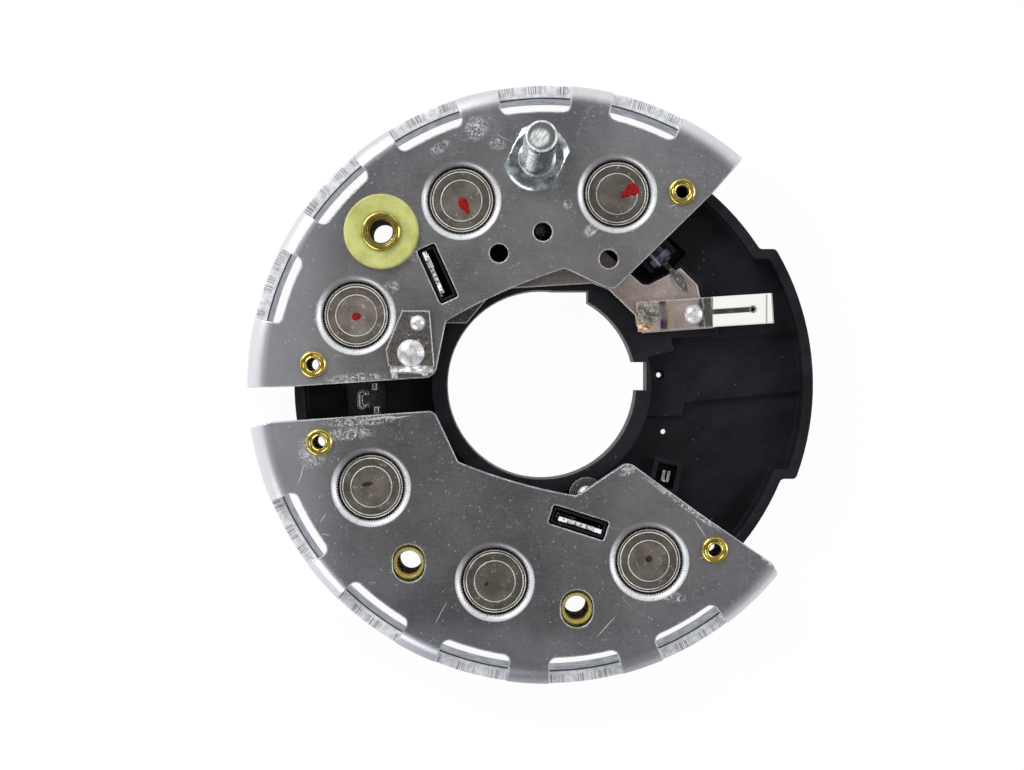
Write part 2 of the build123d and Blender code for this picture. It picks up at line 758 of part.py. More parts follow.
with BuildPart() as moulded_plate:
    with BuildSketch(ring(floor_bottom)):
        plate_plan(0)
    extrude(amount=floor)
    with BuildSketch(ring(floor_bottom)):
        plate_plan(0)
        with BuildSketch(mode=Mode.PRIVATE) as inside:
            plate_plan(wall)
        add(inside.sketch, mode=Mode.SUBTRACT)
    extrude(amount=wall_top - floor_bottom)
    with BuildSketch(Plane.XY):
        Circle(shaft_hole_radius + collar_wall)
    extrude(amount=deck_top)

    # Ledge for the exciter strip, terrace and bare panel of the tray
    with BuildSketch(ring(floor_top)):
        sector(shaft_hole_radius, deck_reach, 15, 150)
        with BuildLine():
            Polyline(*ledge_block, close=True)
        make_face()
    extrude(amount=deck_top - floor_top)
    with BuildSketch(ring(floor_top)):
        with BuildLine():
            Polyline(*upper_step, (60, 60), (14, 60), close=True)
        make_face()
        with BuildSketch(mode=Mode.PRIVATE) as inside:
            plate_plan(wall / 2)
        add(inside.sketch, mode=Mode.INTERSECT)
    extrude(amount=terrace)
    with BuildSketch(ring(floor_top)):
        with BuildLine():
            Polyline(*upper_step, *lower_step, close=True)
        make_face()
    extrude(amount=platform)
    with BuildSketch(ring(floor_top)):
        with BuildLine():
            Polyline(*exciter_pocket, close=True)
        make_face()
    extrude(amount=plate_top, mode=Mode.SUBTRACT)
    for place, angle in zip(exciter_places, exciter_angles):
        cradle(place, angle)

    # Walls round the diodes, bosses under the sheets and round the fixings
    with BuildSketch(ring(floor_top)):
        with Locations(*diode_places):
            Circle(well_radius + well_wall)
    extrude(amount=well_wall_top - floor_top)
    with BuildSketch(ring(floor_top)):
        with Locations(*[polar(eyelet_circle, a) for a in upper_eyelets + lower_eyelets]):
            Circle(eyelet_rim_radius + 0.9)
        with Locations(*[polar(fixing_circle, a) for a in plain_fixings]):
            Circle(bush_flange_radius + boss_wall)
        with Locations(insulated_place):
            Circle(sleeve_radius + boss_wall)
    extrude(amount=plate_under - floor_top)
    with BuildSketch(Plane.XY):
        with Locations(*[
            (ring_shift + polar(fixing_circle, a)[0], polar(fixing_circle, a)[1])
            for a in [insulated_fixing] + plain_fixings
        ]):
            Circle(bush_radius + boss_wall)
    extrude(amount=floor_bottom)
    with BuildSketch(ring(floor_bottom)):
        with PolarLocations((rib_start + rib_end) / 2, 3, start_angle=-12, angular_range=38):
            Rectangle(rib_end - rib_start, rib)
    extrude(amount=-rib_depth)
    with BuildSketch(ring(floor_top)):
        with Locations(retainer_place):
            Circle(retainer_radius)
    extrude(amount=deck_top - floor_top)
    with BuildSketch(ring(floor_top)):
        with Locations(fork_place):
            RectangleRounded(*fork_block, 0.6, rotation=fork_turn)
            Rectangle(*fork_well, rotation=fork_turn, mode=Mode.SUBTRACT)
    extrude(amount=fork_top - floor_top)
    tower(upper_terminal, upper_terminal_angle, upper_blade)
    tower(lower_terminal, lower_terminal_angle, lower_blade)

    # Openings
    with BuildSketch(Plane.XY):
        Circle(shaft_hole_radius)
        with Locations((0, 10.2)):
            Rectangle(9.0, 8.0, align=(Align.MIN, Align.MIN))
        with Locations((15.0, -1.1)):
            Rectangle(5.3, 5.5, align=(Align.MIN, Align.MIN))
    extrude(amount=plate_top, mode=Mode.SUBTRACT)
    with BuildSketch(ring(0)):
        with Locations(*diode_places):
            Circle(well_radius)
        with Locations(*[polar(fixing_circle, a) for a in [insulated_fixing] + plain_fixings]):
            Circle(bush_radius + press_clearance)
        with Locations(*[polar(eyelet_circle, a) for a in upper_eyelets + lower_eyelets]):
            Circle(eyelet_radius + press_clearance)
        with Locations(*outer_drops):
            Circle(wire_radius + 0.15)
        with Locations(*core_pin_places):
            Circle(core_pin_radius)
        with Locations(retainer_place):
            Circle(retainer_shank + press_clearance)
        with Locations(contact_rivet_place):
            Circle(contact_shank + press_clearance)
        with Locations(fork_place):
            Rectangle(fork_width + 0.3, fork_length + 0.3, rotation=fork_turn)
        with Locations(gap_window_place):
            Rectangle(gap_window, left_strip_width - 2 * gap_window_lap, rotation=gap_window_angle)
    extrude(amount=plate_top, mode=Mode.SUBTRACT)
    with BuildSketch(ring(plate_under)):
        with Locations(*[polar(fixing_circle, a) for a in plain_fixings]):
            Circle(bush_flange_radius + 0.1)
    extrude(amount=-bush_flange, mode=Mode.SUBTRACT)
    with BuildSketch(ring(floor_top + platform)):
        with Locations(*core_pin_places):
            Circle(2 * core_pin_radius)
    extrude(amount=-0.6, mode=Mode.SUBTRACT)
    for place, angle in zip(exciter_places, exciter_angles):
        extrude(
            diode_space(place, angle, exciter_length, exciter_radius + 0.05),
            amount=exciter_length,
            mode=Mode.SUBTRACT,
        )
    with BuildSketch(ring(exciter_height - wire_radius - wire_channel)) as channels:
        for inner_end, landing in zip(inner_ends, landings):
            arm(inner_end, landing[0], 2 * (wire_radius + wire_channel))
    extrude(channels.sketch, amount=plate_top, mode=Mode.SUBTRACT)
keep(moulded_plate, "moulded_plate")

# Exciter diodes with their wires

strip_top = deck_top + strip
for number, (place, angle, drop, inner_end, landing) in enumerate(
    zip(exciter_places, exciter_angles, outer_drops, inner_ends, landings), start=1
):
    with BuildPart() as exciter_diode:
        extrude(diode_space(place, angle, exciter_length, exciter_radius), amount=exciter_length)
        fillet(exciter_diode.edges().filter_by(GeomType.CIRCLE), 0.35)
    keep(exciter_diode, f"exciter_diode_{number}")
    reach = polar(exciter_length / 2, angle)
    straight = polar(exciter_length / 2 + 0.5, angle)
    inner_bend = (place[0] + straight[0], place[1] + straight[1])
    outer_end = (place[0] - reach[0], place[1] - reach[1])
    with BuildPart() as exciter_wires:
        with BuildLine(ring(0)) as inner_path:
            FilletPolyline(
                (*inner_end, exciter_height),
                (*inner_bend, exciter_height),
                (*landing[0], strip_top + wire_radius + wire_lift),
                (*landing[1], strip_top + wire_radius + wire_lift),
                radius=0.4,
            )
        with BuildSketch(inner_path.line ^ 0):
            Circle(wire_radius)
        sweep(path=inner_path.line)
        with BuildSketch(ring(strip_top)):
            arm(*landing, pressed_width)
        extrude(amount=pressed)
        with BuildLine(ring(0)) as outer_path:
            FilletPolyline(
                (*outer_end, exciter_height),
                (*drop, exciter_height),
                (*drop, strip_bottom - 0.5),
                radius=0.6,
            )
        with BuildSketch(outer_path.line ^ 0):
            Circle(wire_radius)
        sweep(path=outer_path.line)
    keep(exciter_wires, f"exciter_wires_{number}")

# Exciter strip with its contact

with BuildPart() as exciter_strip:
    with BuildSketch(ring(deck_top)):
        with BuildLine():
            Polyline(
                (-24.8, 11.8), (-15.5, 11.9), (-11.4, 16.8), (-7.5, 18.6), (8.8, 19.6), (11.9, 18.4),
                (17.1, 13.4), (17.3, 11.4), (18.4, 10.0), (32.4, 11.0), (32.4, 16.6), (29.7, 16.6),
                (29.1, 19.3), (25.8, 22.6), (23.5, 21.3), (19.6, 19.3), (18.4, 19.4), (10.4, 26.4),
                (4.0, 24.5), (-9.0, 22.8), (-14.3, 17.6), (-16.3, 15.2), (-20.6, 13.6), (-24.8, 13.6),
                close=True,
            )
        make_face()
        drop_hole(contact_rivet_place, contact_shank + press_clearance)
    extrude(amount=strip)
keep(exciter_strip, "exciter_strip")

along = polar(1, contact_angle)
slot_ends = [(contact_start[0] + along[0] * d, contact_start[1] + along[1] * d) for d in contact_slot]
contact_side = Plane(
    origin=(ring_shift + contact_start[0], contact_start[1], strip_top),
    x_dir=(*along, 0),
    z_dir=(along[1], -along[0], 0),
)
with BuildPart() as contact_blade:
    with BuildSketch(contact_side):
        with BuildLine():
            low = contact_sheet / 2
            high = low + contact_rise
            Polyline(
                (0, low), (contact_flat, low), (contact_flat + contact_ramp, high), (contact_end, high),
                (contact_end + 0.5, high - 2.0),
            )
        trace(line_width=contact_sheet)
    extrude(amount=contact_width / 2, both=True)
    with BuildSketch(ring(strip_top)):
        arm(*slot_ends, contact_slot_width)
        with Locations(slot_ends[1]):
            Circle(contact_slot_end)
        with Locations(contact_rivet_place):
            Circle(contact_shank + press_clearance)
    extrude(amount=plate_top, mode=Mode.SUBTRACT)
keep(contact_blade, "contact_blade")

# Rivets and their washer

def rivet(place, seat, foot, head, shank):
    """Rivet with a domed head on its seat and a spread tail below its foot."""
    return turned(place, [
        (0, foot - 0.6),
        (0, seat + rivet_dome),
        (0.45 * head, seat + 0.92 * rivet_dome),
        (0.8 * head, seat + 0.6 * rivet_dome),
        (head, seat + 0.1),
        (head, seat),
        (shank, seat),
        (shank, foot),
        (shank + 0.35, foot),
        (shank + 0.2, foot - 0.6),
    ])


contact_seat = strip_top + contact_sheet
contact_rivet = rivet(contact_rivet_place, contact_seat, floor_bottom, contact_head, contact_shank)
keep(contact_rivet, "contact_rivet")

with BuildPart() as retaining_washer:
    with BuildSketch(ring(deck_top)):
        with Locations(retainer_place):
            Circle(retainer_radius)
            Circle(retainer_shank + press_clearance, mode=Mode.SUBTRACT)
    extrude(amount=strip)
keep(retaining_washer, "retaining_washer")
retaining_rivet = rivet(retainer_place, strip_top, floor_bottom, retainer_head, retainer_shank)
keep(retaining_rivet, "retaining_rivet")

# Bracket riveted on the positive heat sink

with BuildPart() as link_bracket:
    with BuildSketch(ring(plate_top)):
        with BuildLine():
            Polyline((-27.8, 14.2), (-22.5, 14.2), (-21.6, 3.6), (-30.4, 3.6), (-30.9, 6.7), close=True)
        make_face()
        for rivet_place, rivet_radius in zip(bracket_rivet_places, bracket_rivet_radii):
            drop_hole(rivet_place, rivet_radius + press_clearance)
    extrude(amount=strip)
    with BuildSketch(Plane(origin=(ring_shift - 21.8, 0, plate_top), x_dir=(0, 1, 0), z_dir=(1, 0, 0))):
        with BuildLine():
            Polyline((4.4, strip / 2), (3.4, strip / 2), (2.3, strip / 2 + bracket_lip))
        trace(line_width=strip)
    extrude(amount=-bracket_reach)
    with BuildSketch(ring(plate_top)):
        with Locations(*bracket_tab_places):
            Rectangle(*bracket_tab)
    extrude(amount=strip)
keep(link_bracket, "link_bracket")
for number, (rivet_place, rivet_radius, head) in enumerate(
    zip(bracket_rivet_places, bracket_rivet_radii, bracket_rivet_heads), start=1
):
    bracket_rivet = rivet(rivet_place, plate_top + strip, plate_under, head, rivet_radius)
    keep(bracket_rivet, f"bracket_rivet_{number}")
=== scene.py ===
"""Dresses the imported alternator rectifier: a finish for every piece, the fine pieces that replace or stand on
the solids, a pale floor, soft studio light and a camera straight above."""

import logging
import math
from contextlib import contextmanager
from dataclasses import dataclass
from enum import Enum
from typing import Callable, ClassVar, Iterator, Sequence

import bmesh
import bpy
from mathutils import Matrix, Vector


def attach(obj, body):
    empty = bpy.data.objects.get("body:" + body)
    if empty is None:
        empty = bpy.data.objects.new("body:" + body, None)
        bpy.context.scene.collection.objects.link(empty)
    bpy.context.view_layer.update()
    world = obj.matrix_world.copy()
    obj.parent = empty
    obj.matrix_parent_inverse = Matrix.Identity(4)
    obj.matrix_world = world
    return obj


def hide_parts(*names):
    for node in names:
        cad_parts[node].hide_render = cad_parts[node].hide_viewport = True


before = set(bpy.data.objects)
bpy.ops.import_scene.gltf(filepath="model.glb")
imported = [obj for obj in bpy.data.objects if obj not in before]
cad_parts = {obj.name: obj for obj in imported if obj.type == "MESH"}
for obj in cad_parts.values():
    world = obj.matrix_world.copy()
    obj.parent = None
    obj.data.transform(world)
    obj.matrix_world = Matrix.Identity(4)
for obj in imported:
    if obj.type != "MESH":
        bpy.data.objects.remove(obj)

log = logging.getLogger("rectifier")

MM = 0.001
RING_SHIFT = 1.0  # of the ring's centre from the shaft hole's axis, in millimetres
ROOT = "root"
Colour = tuple[float, float, float, float]
Point = tuple[float, float, float]
Flat = tuple[float, float]
Socket = bpy.types.NodeSocket
Node = bpy.types.Node
Tree = bpy.types.NodeTree
Piece = bpy.types.Object

DIODE_CIRCLE = 39.0
POSITIVE_ANGLES = (70.0, 115.0, 160.0)
NEGATIVE_ANGLES = (210.0, 255.0, 300.0)
DIODE_ANGLES = POSITIVE_ANGLES + NEGATIVE_ANGLES
EXCITER_PLACES = ((-26.0, 18.7, -65.0), (-1.511, 31.464, -87.25), (20.9, 25.8, -48.0))
CONTACT_FOOT = (17.4, 13.1)
CONTACT_ANGLE = 3.7
WELD_PLACE = (19.5, 13.85)


def shade(red: float, green: float, blue: float) -> Colour:
    """Turns a screen colour of 0 to 255 into the linear one that a shader takes.

    Args:
        red: Red part.
        green: Green part.
        blue: Blue part.

    Returns:
        The linear colour, opaque.
    """

    def linear(part: float) -> float:
        """Linear value of one part."""
        part /= 255
        return part / 12.92 if part <= 0.04045 else ((part + 0.055) / 1.055) ** 2.4

    return (linear(red), linear(green), linear(blue), 1.0)


def toned(colour: Colour, tone: float) -> Colour:
    """Colour made darker or lighter by a factor."""
    red, green, blue, opaque = colour
    return (red * tone, green * tone, blue * tone, opaque)


def polar(radius: float, angle: float, height: float) -> Point:
    """Point round the ring's centre.

    Args:
        radius: Distance from the ring's centre, in millimetres.
        angle: Angle from +X, in degrees.
        height: Height over the flange's lower edge, in millimetres.

    Returns:
        The point in metres.
    """
    turn = math.radians(angle)
    return (
        (RING_SHIFT + radius * math.cos(turn)) * MM,
        radius * math.sin(turn) * MM,
        height * MM,
    )


def at(x: float, y: float, height: float) -> Point:
    """Point given from the ring's centre in millimetres, in metres."""
    return ((RING_SHIFT + x) * MM, y * MM, height * MM)


class Effect(Enum):
    """Surface effects that several finishes share."""

    GRAIN = "fine_grain"
    EDGES = "rounded_edges"
    SCUFFS = "scuff_webs"
    NICKS = "bright_nicks"
    CLOUDS = "tone_clouds"
    RINGS = "turned_rings"


class Desk:
    """A node tree with short calls for adding and joining its nodes."""

    def __init__(self, tree: Tree) -> None:
        """Takes the tree to work on.

        Args:
            tree: Node tree of a material, the world or a group.
        """
        self.tree = tree

    def add(self, kind: str, values: dict | None = None, **settings: object) -> Node:
        """Adds a node.

        Args:
            kind: Node type without the leading ShaderNode.
            values: Input name or number to a value or to a socket to join.
            settings: Properties of the node.

        Returns:
            The new node.
        """
        node = self.tree.nodes.new("ShaderNode" + kind)
        for name, value in settings.items():
            setattr(node, name, value)
        for name, value in (values or {}).items():
            self.give(node.inputs[name], value)
        return node

    def give(self, socket: Socket, value: object) -> None:
        """Joins a socket to another, or sets its value."""
        if isinstance(value, Socket):
            self.tree.links.new(value, socket)
        else:
            socket.default_value = value

    def set(self, node: Node, name: str, value: object) -> None:
        """Joins or sets an input of a node."""
        self.give(node.inputs[name], value)

    def calc(self, operation: str, first: object, second: object = 0.0, clamp: bool = False) -> Socket:
        """Result of a Math node."""
        node = self.add("Math", {0: first, 1: second}, operation=operation)
        node.use_clamp = clamp
        return node.outputs[0]

    def rough(self, surface: Node, tone: Socket, low: float, high: float) -> None:
        """Gives a shader a roughness that follows a tone."""
        self.set(surface, "Roughness", self.span(tone, 0.3, 0.7, low, high))

    def plus(self, first: object, second: object, clamp: bool = False) -> Socket:
        """First value and second together."""
        return self.calc("ADD", first, second, clamp)

    def less(self, first: object, second: object, clamp: bool = False) -> Socket:
        """First value less the second."""
        return self.calc("SUBTRACT", first, second, clamp)

    def times(self, first: object, second: object, clamp: bool = False) -> Socket:
        """First value times the second."""
        return self.calc("MULTIPLY", first, second, clamp)

    def most(self, first: object, second: object) -> Socket:
        """The greater of two values."""
        return self.calc("MAXIMUM", first, second)

    def over(self, first: object, second: object) -> Socket:
        """One where the first value is over the second, else nothing."""
        return self.calc("GREATER_THAN", first, second)

    def under(self, first: object, second: object) -> Socket:
        """One where the first value is under the second, else nothing."""
        return self.calc("LESS_THAN", first, second)

    def vector(self, operation: str, first: object, second: object) -> Socket:
        """Vector that a Vector Math node gives."""
        return self.add("VectorMath", {0: first, 1: second}, operation=operation).outputs[0]

    def dot(self, first: object, second: object) -> Socket:
        """Dot product of two vectors."""
        return self.add("VectorMath", {0: first, 1: second}, operation="DOT_PRODUCT").outputs["Value"]

    def length(self, vector: object) -> Socket:
        """Length of a vector."""
        return self.add("VectorMath", {0: vector}, operation="LENGTH").outputs["Value"]

    def axes(self, vector: object) -> tuple[Socket, Socket, Socket]:
        """The three parts of a vector."""
        node = self.add("SeparateXYZ", {0: vector})
        return node.outputs[0], node.outputs[1], node.outputs[2]

    def span(
        self, value: object, low: float, high: float, to_low: float = 0.0, to_high: float = 1.0
    ) -> Socket:
        """Maps a value smoothly from one span to another and holds it there.

        Args:
            value: Socket to map.
            low: Start of the span.
            high: End of the span.
            to_low: Result at the start.
            to_high: Result at the end.

        Returns:
            The mapped value.
        """
        node = self.add(
            "MapRange",
            {"Value": value, "From Min": low, "From Max": high, "To Min": to_low, "To Max": to_high},
            interpolation_type="SMOOTHSTEP",
        )
        return node.outputs["Result"]

    def mix(self, factor: object, first: object, second: object, blend: str = "MIX") -> Socket:
        """Result of mixing two colours."""
        node = self.add("Mix", data_type="RGBA", blend_type=blend)
        self.give(node.inputs["Factor"], factor)
        self.give(node.inputs[6], first)
        self.give(node.inputs[7], second)
        return node.outputs[2]

    def noise(self, vector: object, scale: float, detail: float = 2.0, roughness: float = 0.5) -> Socket:
        """Value of a noise texture."""
        values = {"Vector": vector, "Scale": scale, "Detail": detail, "Roughness": roughness}
        return self.add("TexNoise", values).outputs["Fac"]

    def line_noise(self, value: object, detail: float) -> Socket:
        """Value of a noise texture along one number."""
        values = {"W": value, "Scale": 1.0, "Detail": detail}
        return self.add("TexNoise", values, noise_dimensions="1D").outputs["Fac"]

    def patchy(
        self, vector: object, scale: float, detail: float, low: float, high: float,
        to_low: float = 0.0, to_high: float = 1.0,
    ) -> Socket:
        """Noise texture mapped from one span to another, as patches of wear are."""
        return self.span(self.noise(vector, scale, detail), low, high, to_low, to_high)

    def place(
        self, vector: object, centre: Point = (0, 0, 0), turn: float = 0.0, scale: Point = (1, 1, 1)
    ) -> Socket:
        """Moves, turns and scales a pattern on a piece.

        Args:
            vector: Coordinates of the piece.
            centre: Point of the piece that becomes the pattern's middle.
            turn: Angle that the pattern is turned by about Z, in degrees.
            scale: Scale along the turned axes.

        Returns:
            The new coordinates.
        """
        moved = self.vector("SUBTRACT", vector, centre)
        turned = self.add("Mapping", {"Vector": moved, "Rotation": (0, 0, -math.radians(turn))}).outputs[0]
        return self.vector("MULTIPLY", turned, scale)

    def near(self, vector: object, centre: Point, size: Flat, turn: float = 0.0) -> Socket:
        """Mask of an oval spot, seen from above.

        Args:
            vector: Coordinates of the piece.
            centre: Middle of the spot.
            size: Its half length and half width, in metres.
            turn: Angle of its length, in degrees.

        Returns:
            One in the spot, falling to nothing at its rim.
        """
        flat = self.place(vector, centre, turn, (1 / size[0], 1 / size[1], 0))
        far = self.length(flat)
        return self.span(far, 0.55, 1.0, 1.0, 0.0)

    def band(self, value: object, middle: float, half: float, soft: float = 0.4) -> Socket:
        """Mask of a narrow band of a value, with soft sides."""
        off = self.calc("ABSOLUTE", self.less(value, middle))
        return self.span(off, half * (1 - soft), half, 1.0, 0.0)

    def effect(self, effect: Effect, **values: object) -> Node:
        """Adds the group of a shared effect.

        Args:
            effect: The effect.
            values: Its inputs, by name.

        Returns:
            The group's node.
        """
        node = self.tree.nodes.new("ShaderNodeGroup")
        node.node_tree = EffectShelf.tree(effect)
        for name, value in values.items():
            self.give(node.inputs[name], value)
        return node

    def clouds(self, vector: object, scale: float) -> Socket:
        """Tone of slow clouds."""
        return self.effect(Effect.CLOUDS, Vector=vector, Scale=scale).outputs["Tone"]

    def nicks(self, vector: object, scale: float, size: float, cover: float) -> Socket:
        """Mask of small flecks."""
        return self.effect(Effect.NICKS, Vector=vector, Scale=scale, Size=size, Cover=cover).outputs["Mask"]

    def scuffs(self, vector: object, scale: float, width: float, cover: float, **bend: float) -> Socket:
        """Mask of strokes that cross each other."""
        values = {"Vector": vector, "Scale": scale, "Width": width, "Cover": cover, **bend}
        return self.effect(Effect.SCUFFS, **values).outputs["Mask"]


class EffectShelf:
    """Builds each shared effect once, as a node group with named inputs and outputs."""

    edge_start = 0.97
    scuff_bend_scale = 1100.0
    scuff_break = 1.7
    nick_bend_scale = 2600.0
    nick_push = (0.0004, 0.0004, 0.0004)
    nick_patch_scale = 110.0
    nick_cover_offset = 0.6

    @classmethod
    def tree(cls, effect: Effect) -> Tree:
        """Node group of an effect, built on first use."""
        known = bpy.data.node_groups.get(effect.value)
        if known:
            return known
        return getattr(cls, effect.value)(bpy.data.node_groups.new(effect.value, "ShaderNodeTree"))

    @staticmethod
    def sockets(tree: Tree, inputs: dict[str, object], outputs: dict[str, str]) -> tuple[object, object]:
        """Gives a group its sockets.

        Args:
            tree: The group.
            inputs: Input name to its usual value, or None for a vector.
            outputs: Output name to its kind: Float, Color or Vector.

        Returns:
            What the group is given, and what it hands out, by name.
        """
        for name, value in inputs.items():
            kind = "NodeSocketVector" if value is None else "NodeSocketFloat"
            socket = tree.interface.new_socket(name=name, in_out="INPUT", socket_type=kind)
            if value is not None:
                socket.default_value = value
        for name, kind in outputs.items():
            tree.interface.new_socket(name=name, in_out="OUTPUT", socket_type="NodeSocket" + kind)
        return tree.nodes.new("NodeGroupInput").outputs, tree.nodes.new("NodeGroupOutput").inputs

    @classmethod
    def fine_grain(cls, tree: Tree) -> Tree:
        """Fine lines along X, as rolling or brushing leaves them."""
        usual = {"Vector": None, "Across": 8000.0, "Along": 250.0}
        given, result = cls.sockets(tree, usual, {"Lines": "Float"})
        desk = Desk(tree)
        along, across = given["Along"], given["Across"]
        stretch = desk.add("CombineXYZ", {0: along, 1: across, 2: across}).outputs[0]
        fine = desk.vector("MULTIPLY", given["Vector"], stretch)
        desk.give(result["Lines"], desk.noise(fine, 1.0, 3.0, 0.6))
        return tree

    @classmethod
    def rounded_edges(cls, tree: Tree) -> Tree:
        """Normal with softened edges, and a mask of those edges."""
        usual = {"Width": 0.0003, "Gain": 3.0}
        given, result = cls.sockets(tree, usual, {"Mask": "Float", "Normal": "Vector"})
        desk = Desk(tree)
        bevel = desk.add("Bevel", {"Radius": given["Width"]}, samples=4)
        true = desk.add("NewGeometry").outputs["Normal"]
        same = desk.dot(bevel.outputs[0], true)
        bent = desk.less(cls.edge_start, same)
        desk.give(result["Mask"], desk.times(bent, given["Gain"], clamp=True))
        desk.give(result["Normal"], bevel.outputs[0])
        return tree

    @classmethod
    def scuff_webs(cls, tree: Tree) -> Tree:
        """Short bright strokes that cross each other, as handling leaves them on soft metal."""
        usual = {"Vector": None, "Scale": 1000.0, "Width": 0.07, "Cover": 0.5, "Bend": 0.0012}
        given, result = cls.sockets(tree, usual, {"Mask": "Float"})
        desk = Desk(tree)
        bent = desk.add("TexNoise", {"Vector": given["Vector"], "Scale": cls.scuff_bend_scale, "Detail": 2.0})
        values = {0: bent.outputs["Color"], "Scale": given["Bend"]}
        push = desk.add("VectorMath", values, operation="SCALE").outputs[0]
        where = desk.vector("ADD", given["Vector"], push)
        values = {"Vector": where, "Scale": given["Scale"]}
        cells = desk.add("TexVoronoi", values, feature="DISTANCE_TO_EDGE")
        thin = desk.under(cells.outputs["Distance"], given["Width"])
        wide = desk.times(given["Scale"], cls.scuff_break)
        broken = desk.over(desk.noise(given["Vector"], wide, 2.0), given["Cover"])
        desk.give(result["Mask"], desk.times(thin, broken))
        return tree

    @classmethod
    def bright_nicks(cls, tree: Tree) -> Tree:
        """Small flecks of uneven size, scattered more thickly in some patches."""
        usual = {"Vector": None, "Scale": 900.0, "Size": 0.16, "Cover": 0.5}
        given, result = cls.sockets(tree, usual, {"Mask": "Float"})
        desk = Desk(tree)
        bent = desk.add("TexNoise", {"Vector": given["Vector"], "Scale": cls.nick_bend_scale, "Detail": 1.0})
        push = desk.vector("MULTIPLY", bent.outputs["Color"], cls.nick_push)
        where = desk.vector("ADD", given["Vector"], push)
        cells = desk.add("TexVoronoi", {"Vector": where, "Scale": given["Scale"]})
        chance = desk.add("SeparateColor", {0: cells.outputs["Color"]}).outputs[0]
        size = desk.times(given["Size"], desk.calc("POWER", chance, 4.0))
        fleck = desk.under(cells.outputs["Distance"], size)
        patch = desk.patchy(given["Vector"], cls.nick_patch_scale, 2.0, 0.35, 0.65)
        cover = desk.plus(given["Cover"], cls.nick_cover_offset)
        shown = desk.over(desk.plus(patch, chance), cover)
        desk.give(result["Mask"], desk.times(fleck, shown))
        return tree

    @classmethod
    def tone_clouds(cls, tree: Tree) -> Tree:
        """Slow change of tone over a surface."""
        given, result = cls.sockets(tree, {"Vector": None, "Scale": 60.0}, {"Tone": "Float"})
        desk = Desk(tree)
        desk.give(result["Tone"], desk.noise(given["Vector"], given["Scale"], 4.0, 0.6))
        return tree

    @classmethod
    def turned_rings(cls, tree: Tree) -> Tree:
        """Fine rings round the pattern's middle, as a lathe tool leaves them."""
        usual = {"Vector": None, "Pitch": 0.00015}
        given, result = cls.sockets(tree, usual, {"Rings": "Float", "Radius": "Float"})
        desk = Desk(tree)
        flat = desk.vector("MULTIPLY", given["Vector"], (1, 1, 0))
        radius = desk.length(flat)
        step = desk.calc("DIVIDE", radius, given["Pitch"])
        desk.give(result["Rings"], desk.line_noise(step, 2.0))
        desk.give(result["Radius"], radius)
        return tree


@dataclass(frozen=True)
class Finish:
    """Look of one kind of surface."""

    name: str
    shelf: ClassVar[dict[str, bpy.types.Material]] = {}

    def material(self) -> bpy.types.Material:
        """Material of this finish, made on first use."""
        if self.name in self.shelf:
            return self.shelf[self.name]
        made = bpy.data.materials.new(self.name)
        self.shelf[self.name] = made
        made.use_nodes = True
        made.node_tree.nodes.clear()
        desk = Desk(made.node_tree)
        surface = desk.add("BsdfPrincipled")
        output = desk.add("OutputMaterial")
        desk.set(output, "Surface", surface.outputs[0])
        self.paint(desk, surface, desk.add("TexCoord").outputs["Object"])
        return made

    def paint(self, desk: Desk, surface: Node, coords: Socket) -> None:
        """Builds the nodes of this finish.

        Args:
            desk: The material's node tree.
            surface: Its Principled shader.
            coords: Object coordinates of the piece.
        """
        raise NotImplementedError

    @staticmethod
    def bump(desk: Desk, height: object, depth: float, normal: object, strength: float = 1.0) -> Socket:
        """Normal after a bump.

        Args:
            desk: The material's node tree.
            height: Height of 0 to 1.
            depth: What a height of 1 stands for, in metres.
            normal: Normal to start from.
            strength: How much of the bump shows.

        Returns:
            The bumped normal.
        """
        values = {"Height": height, "Distance": depth, "Strength": strength, "Normal": normal}
        return desk.add("Bump", values).outputs[0]


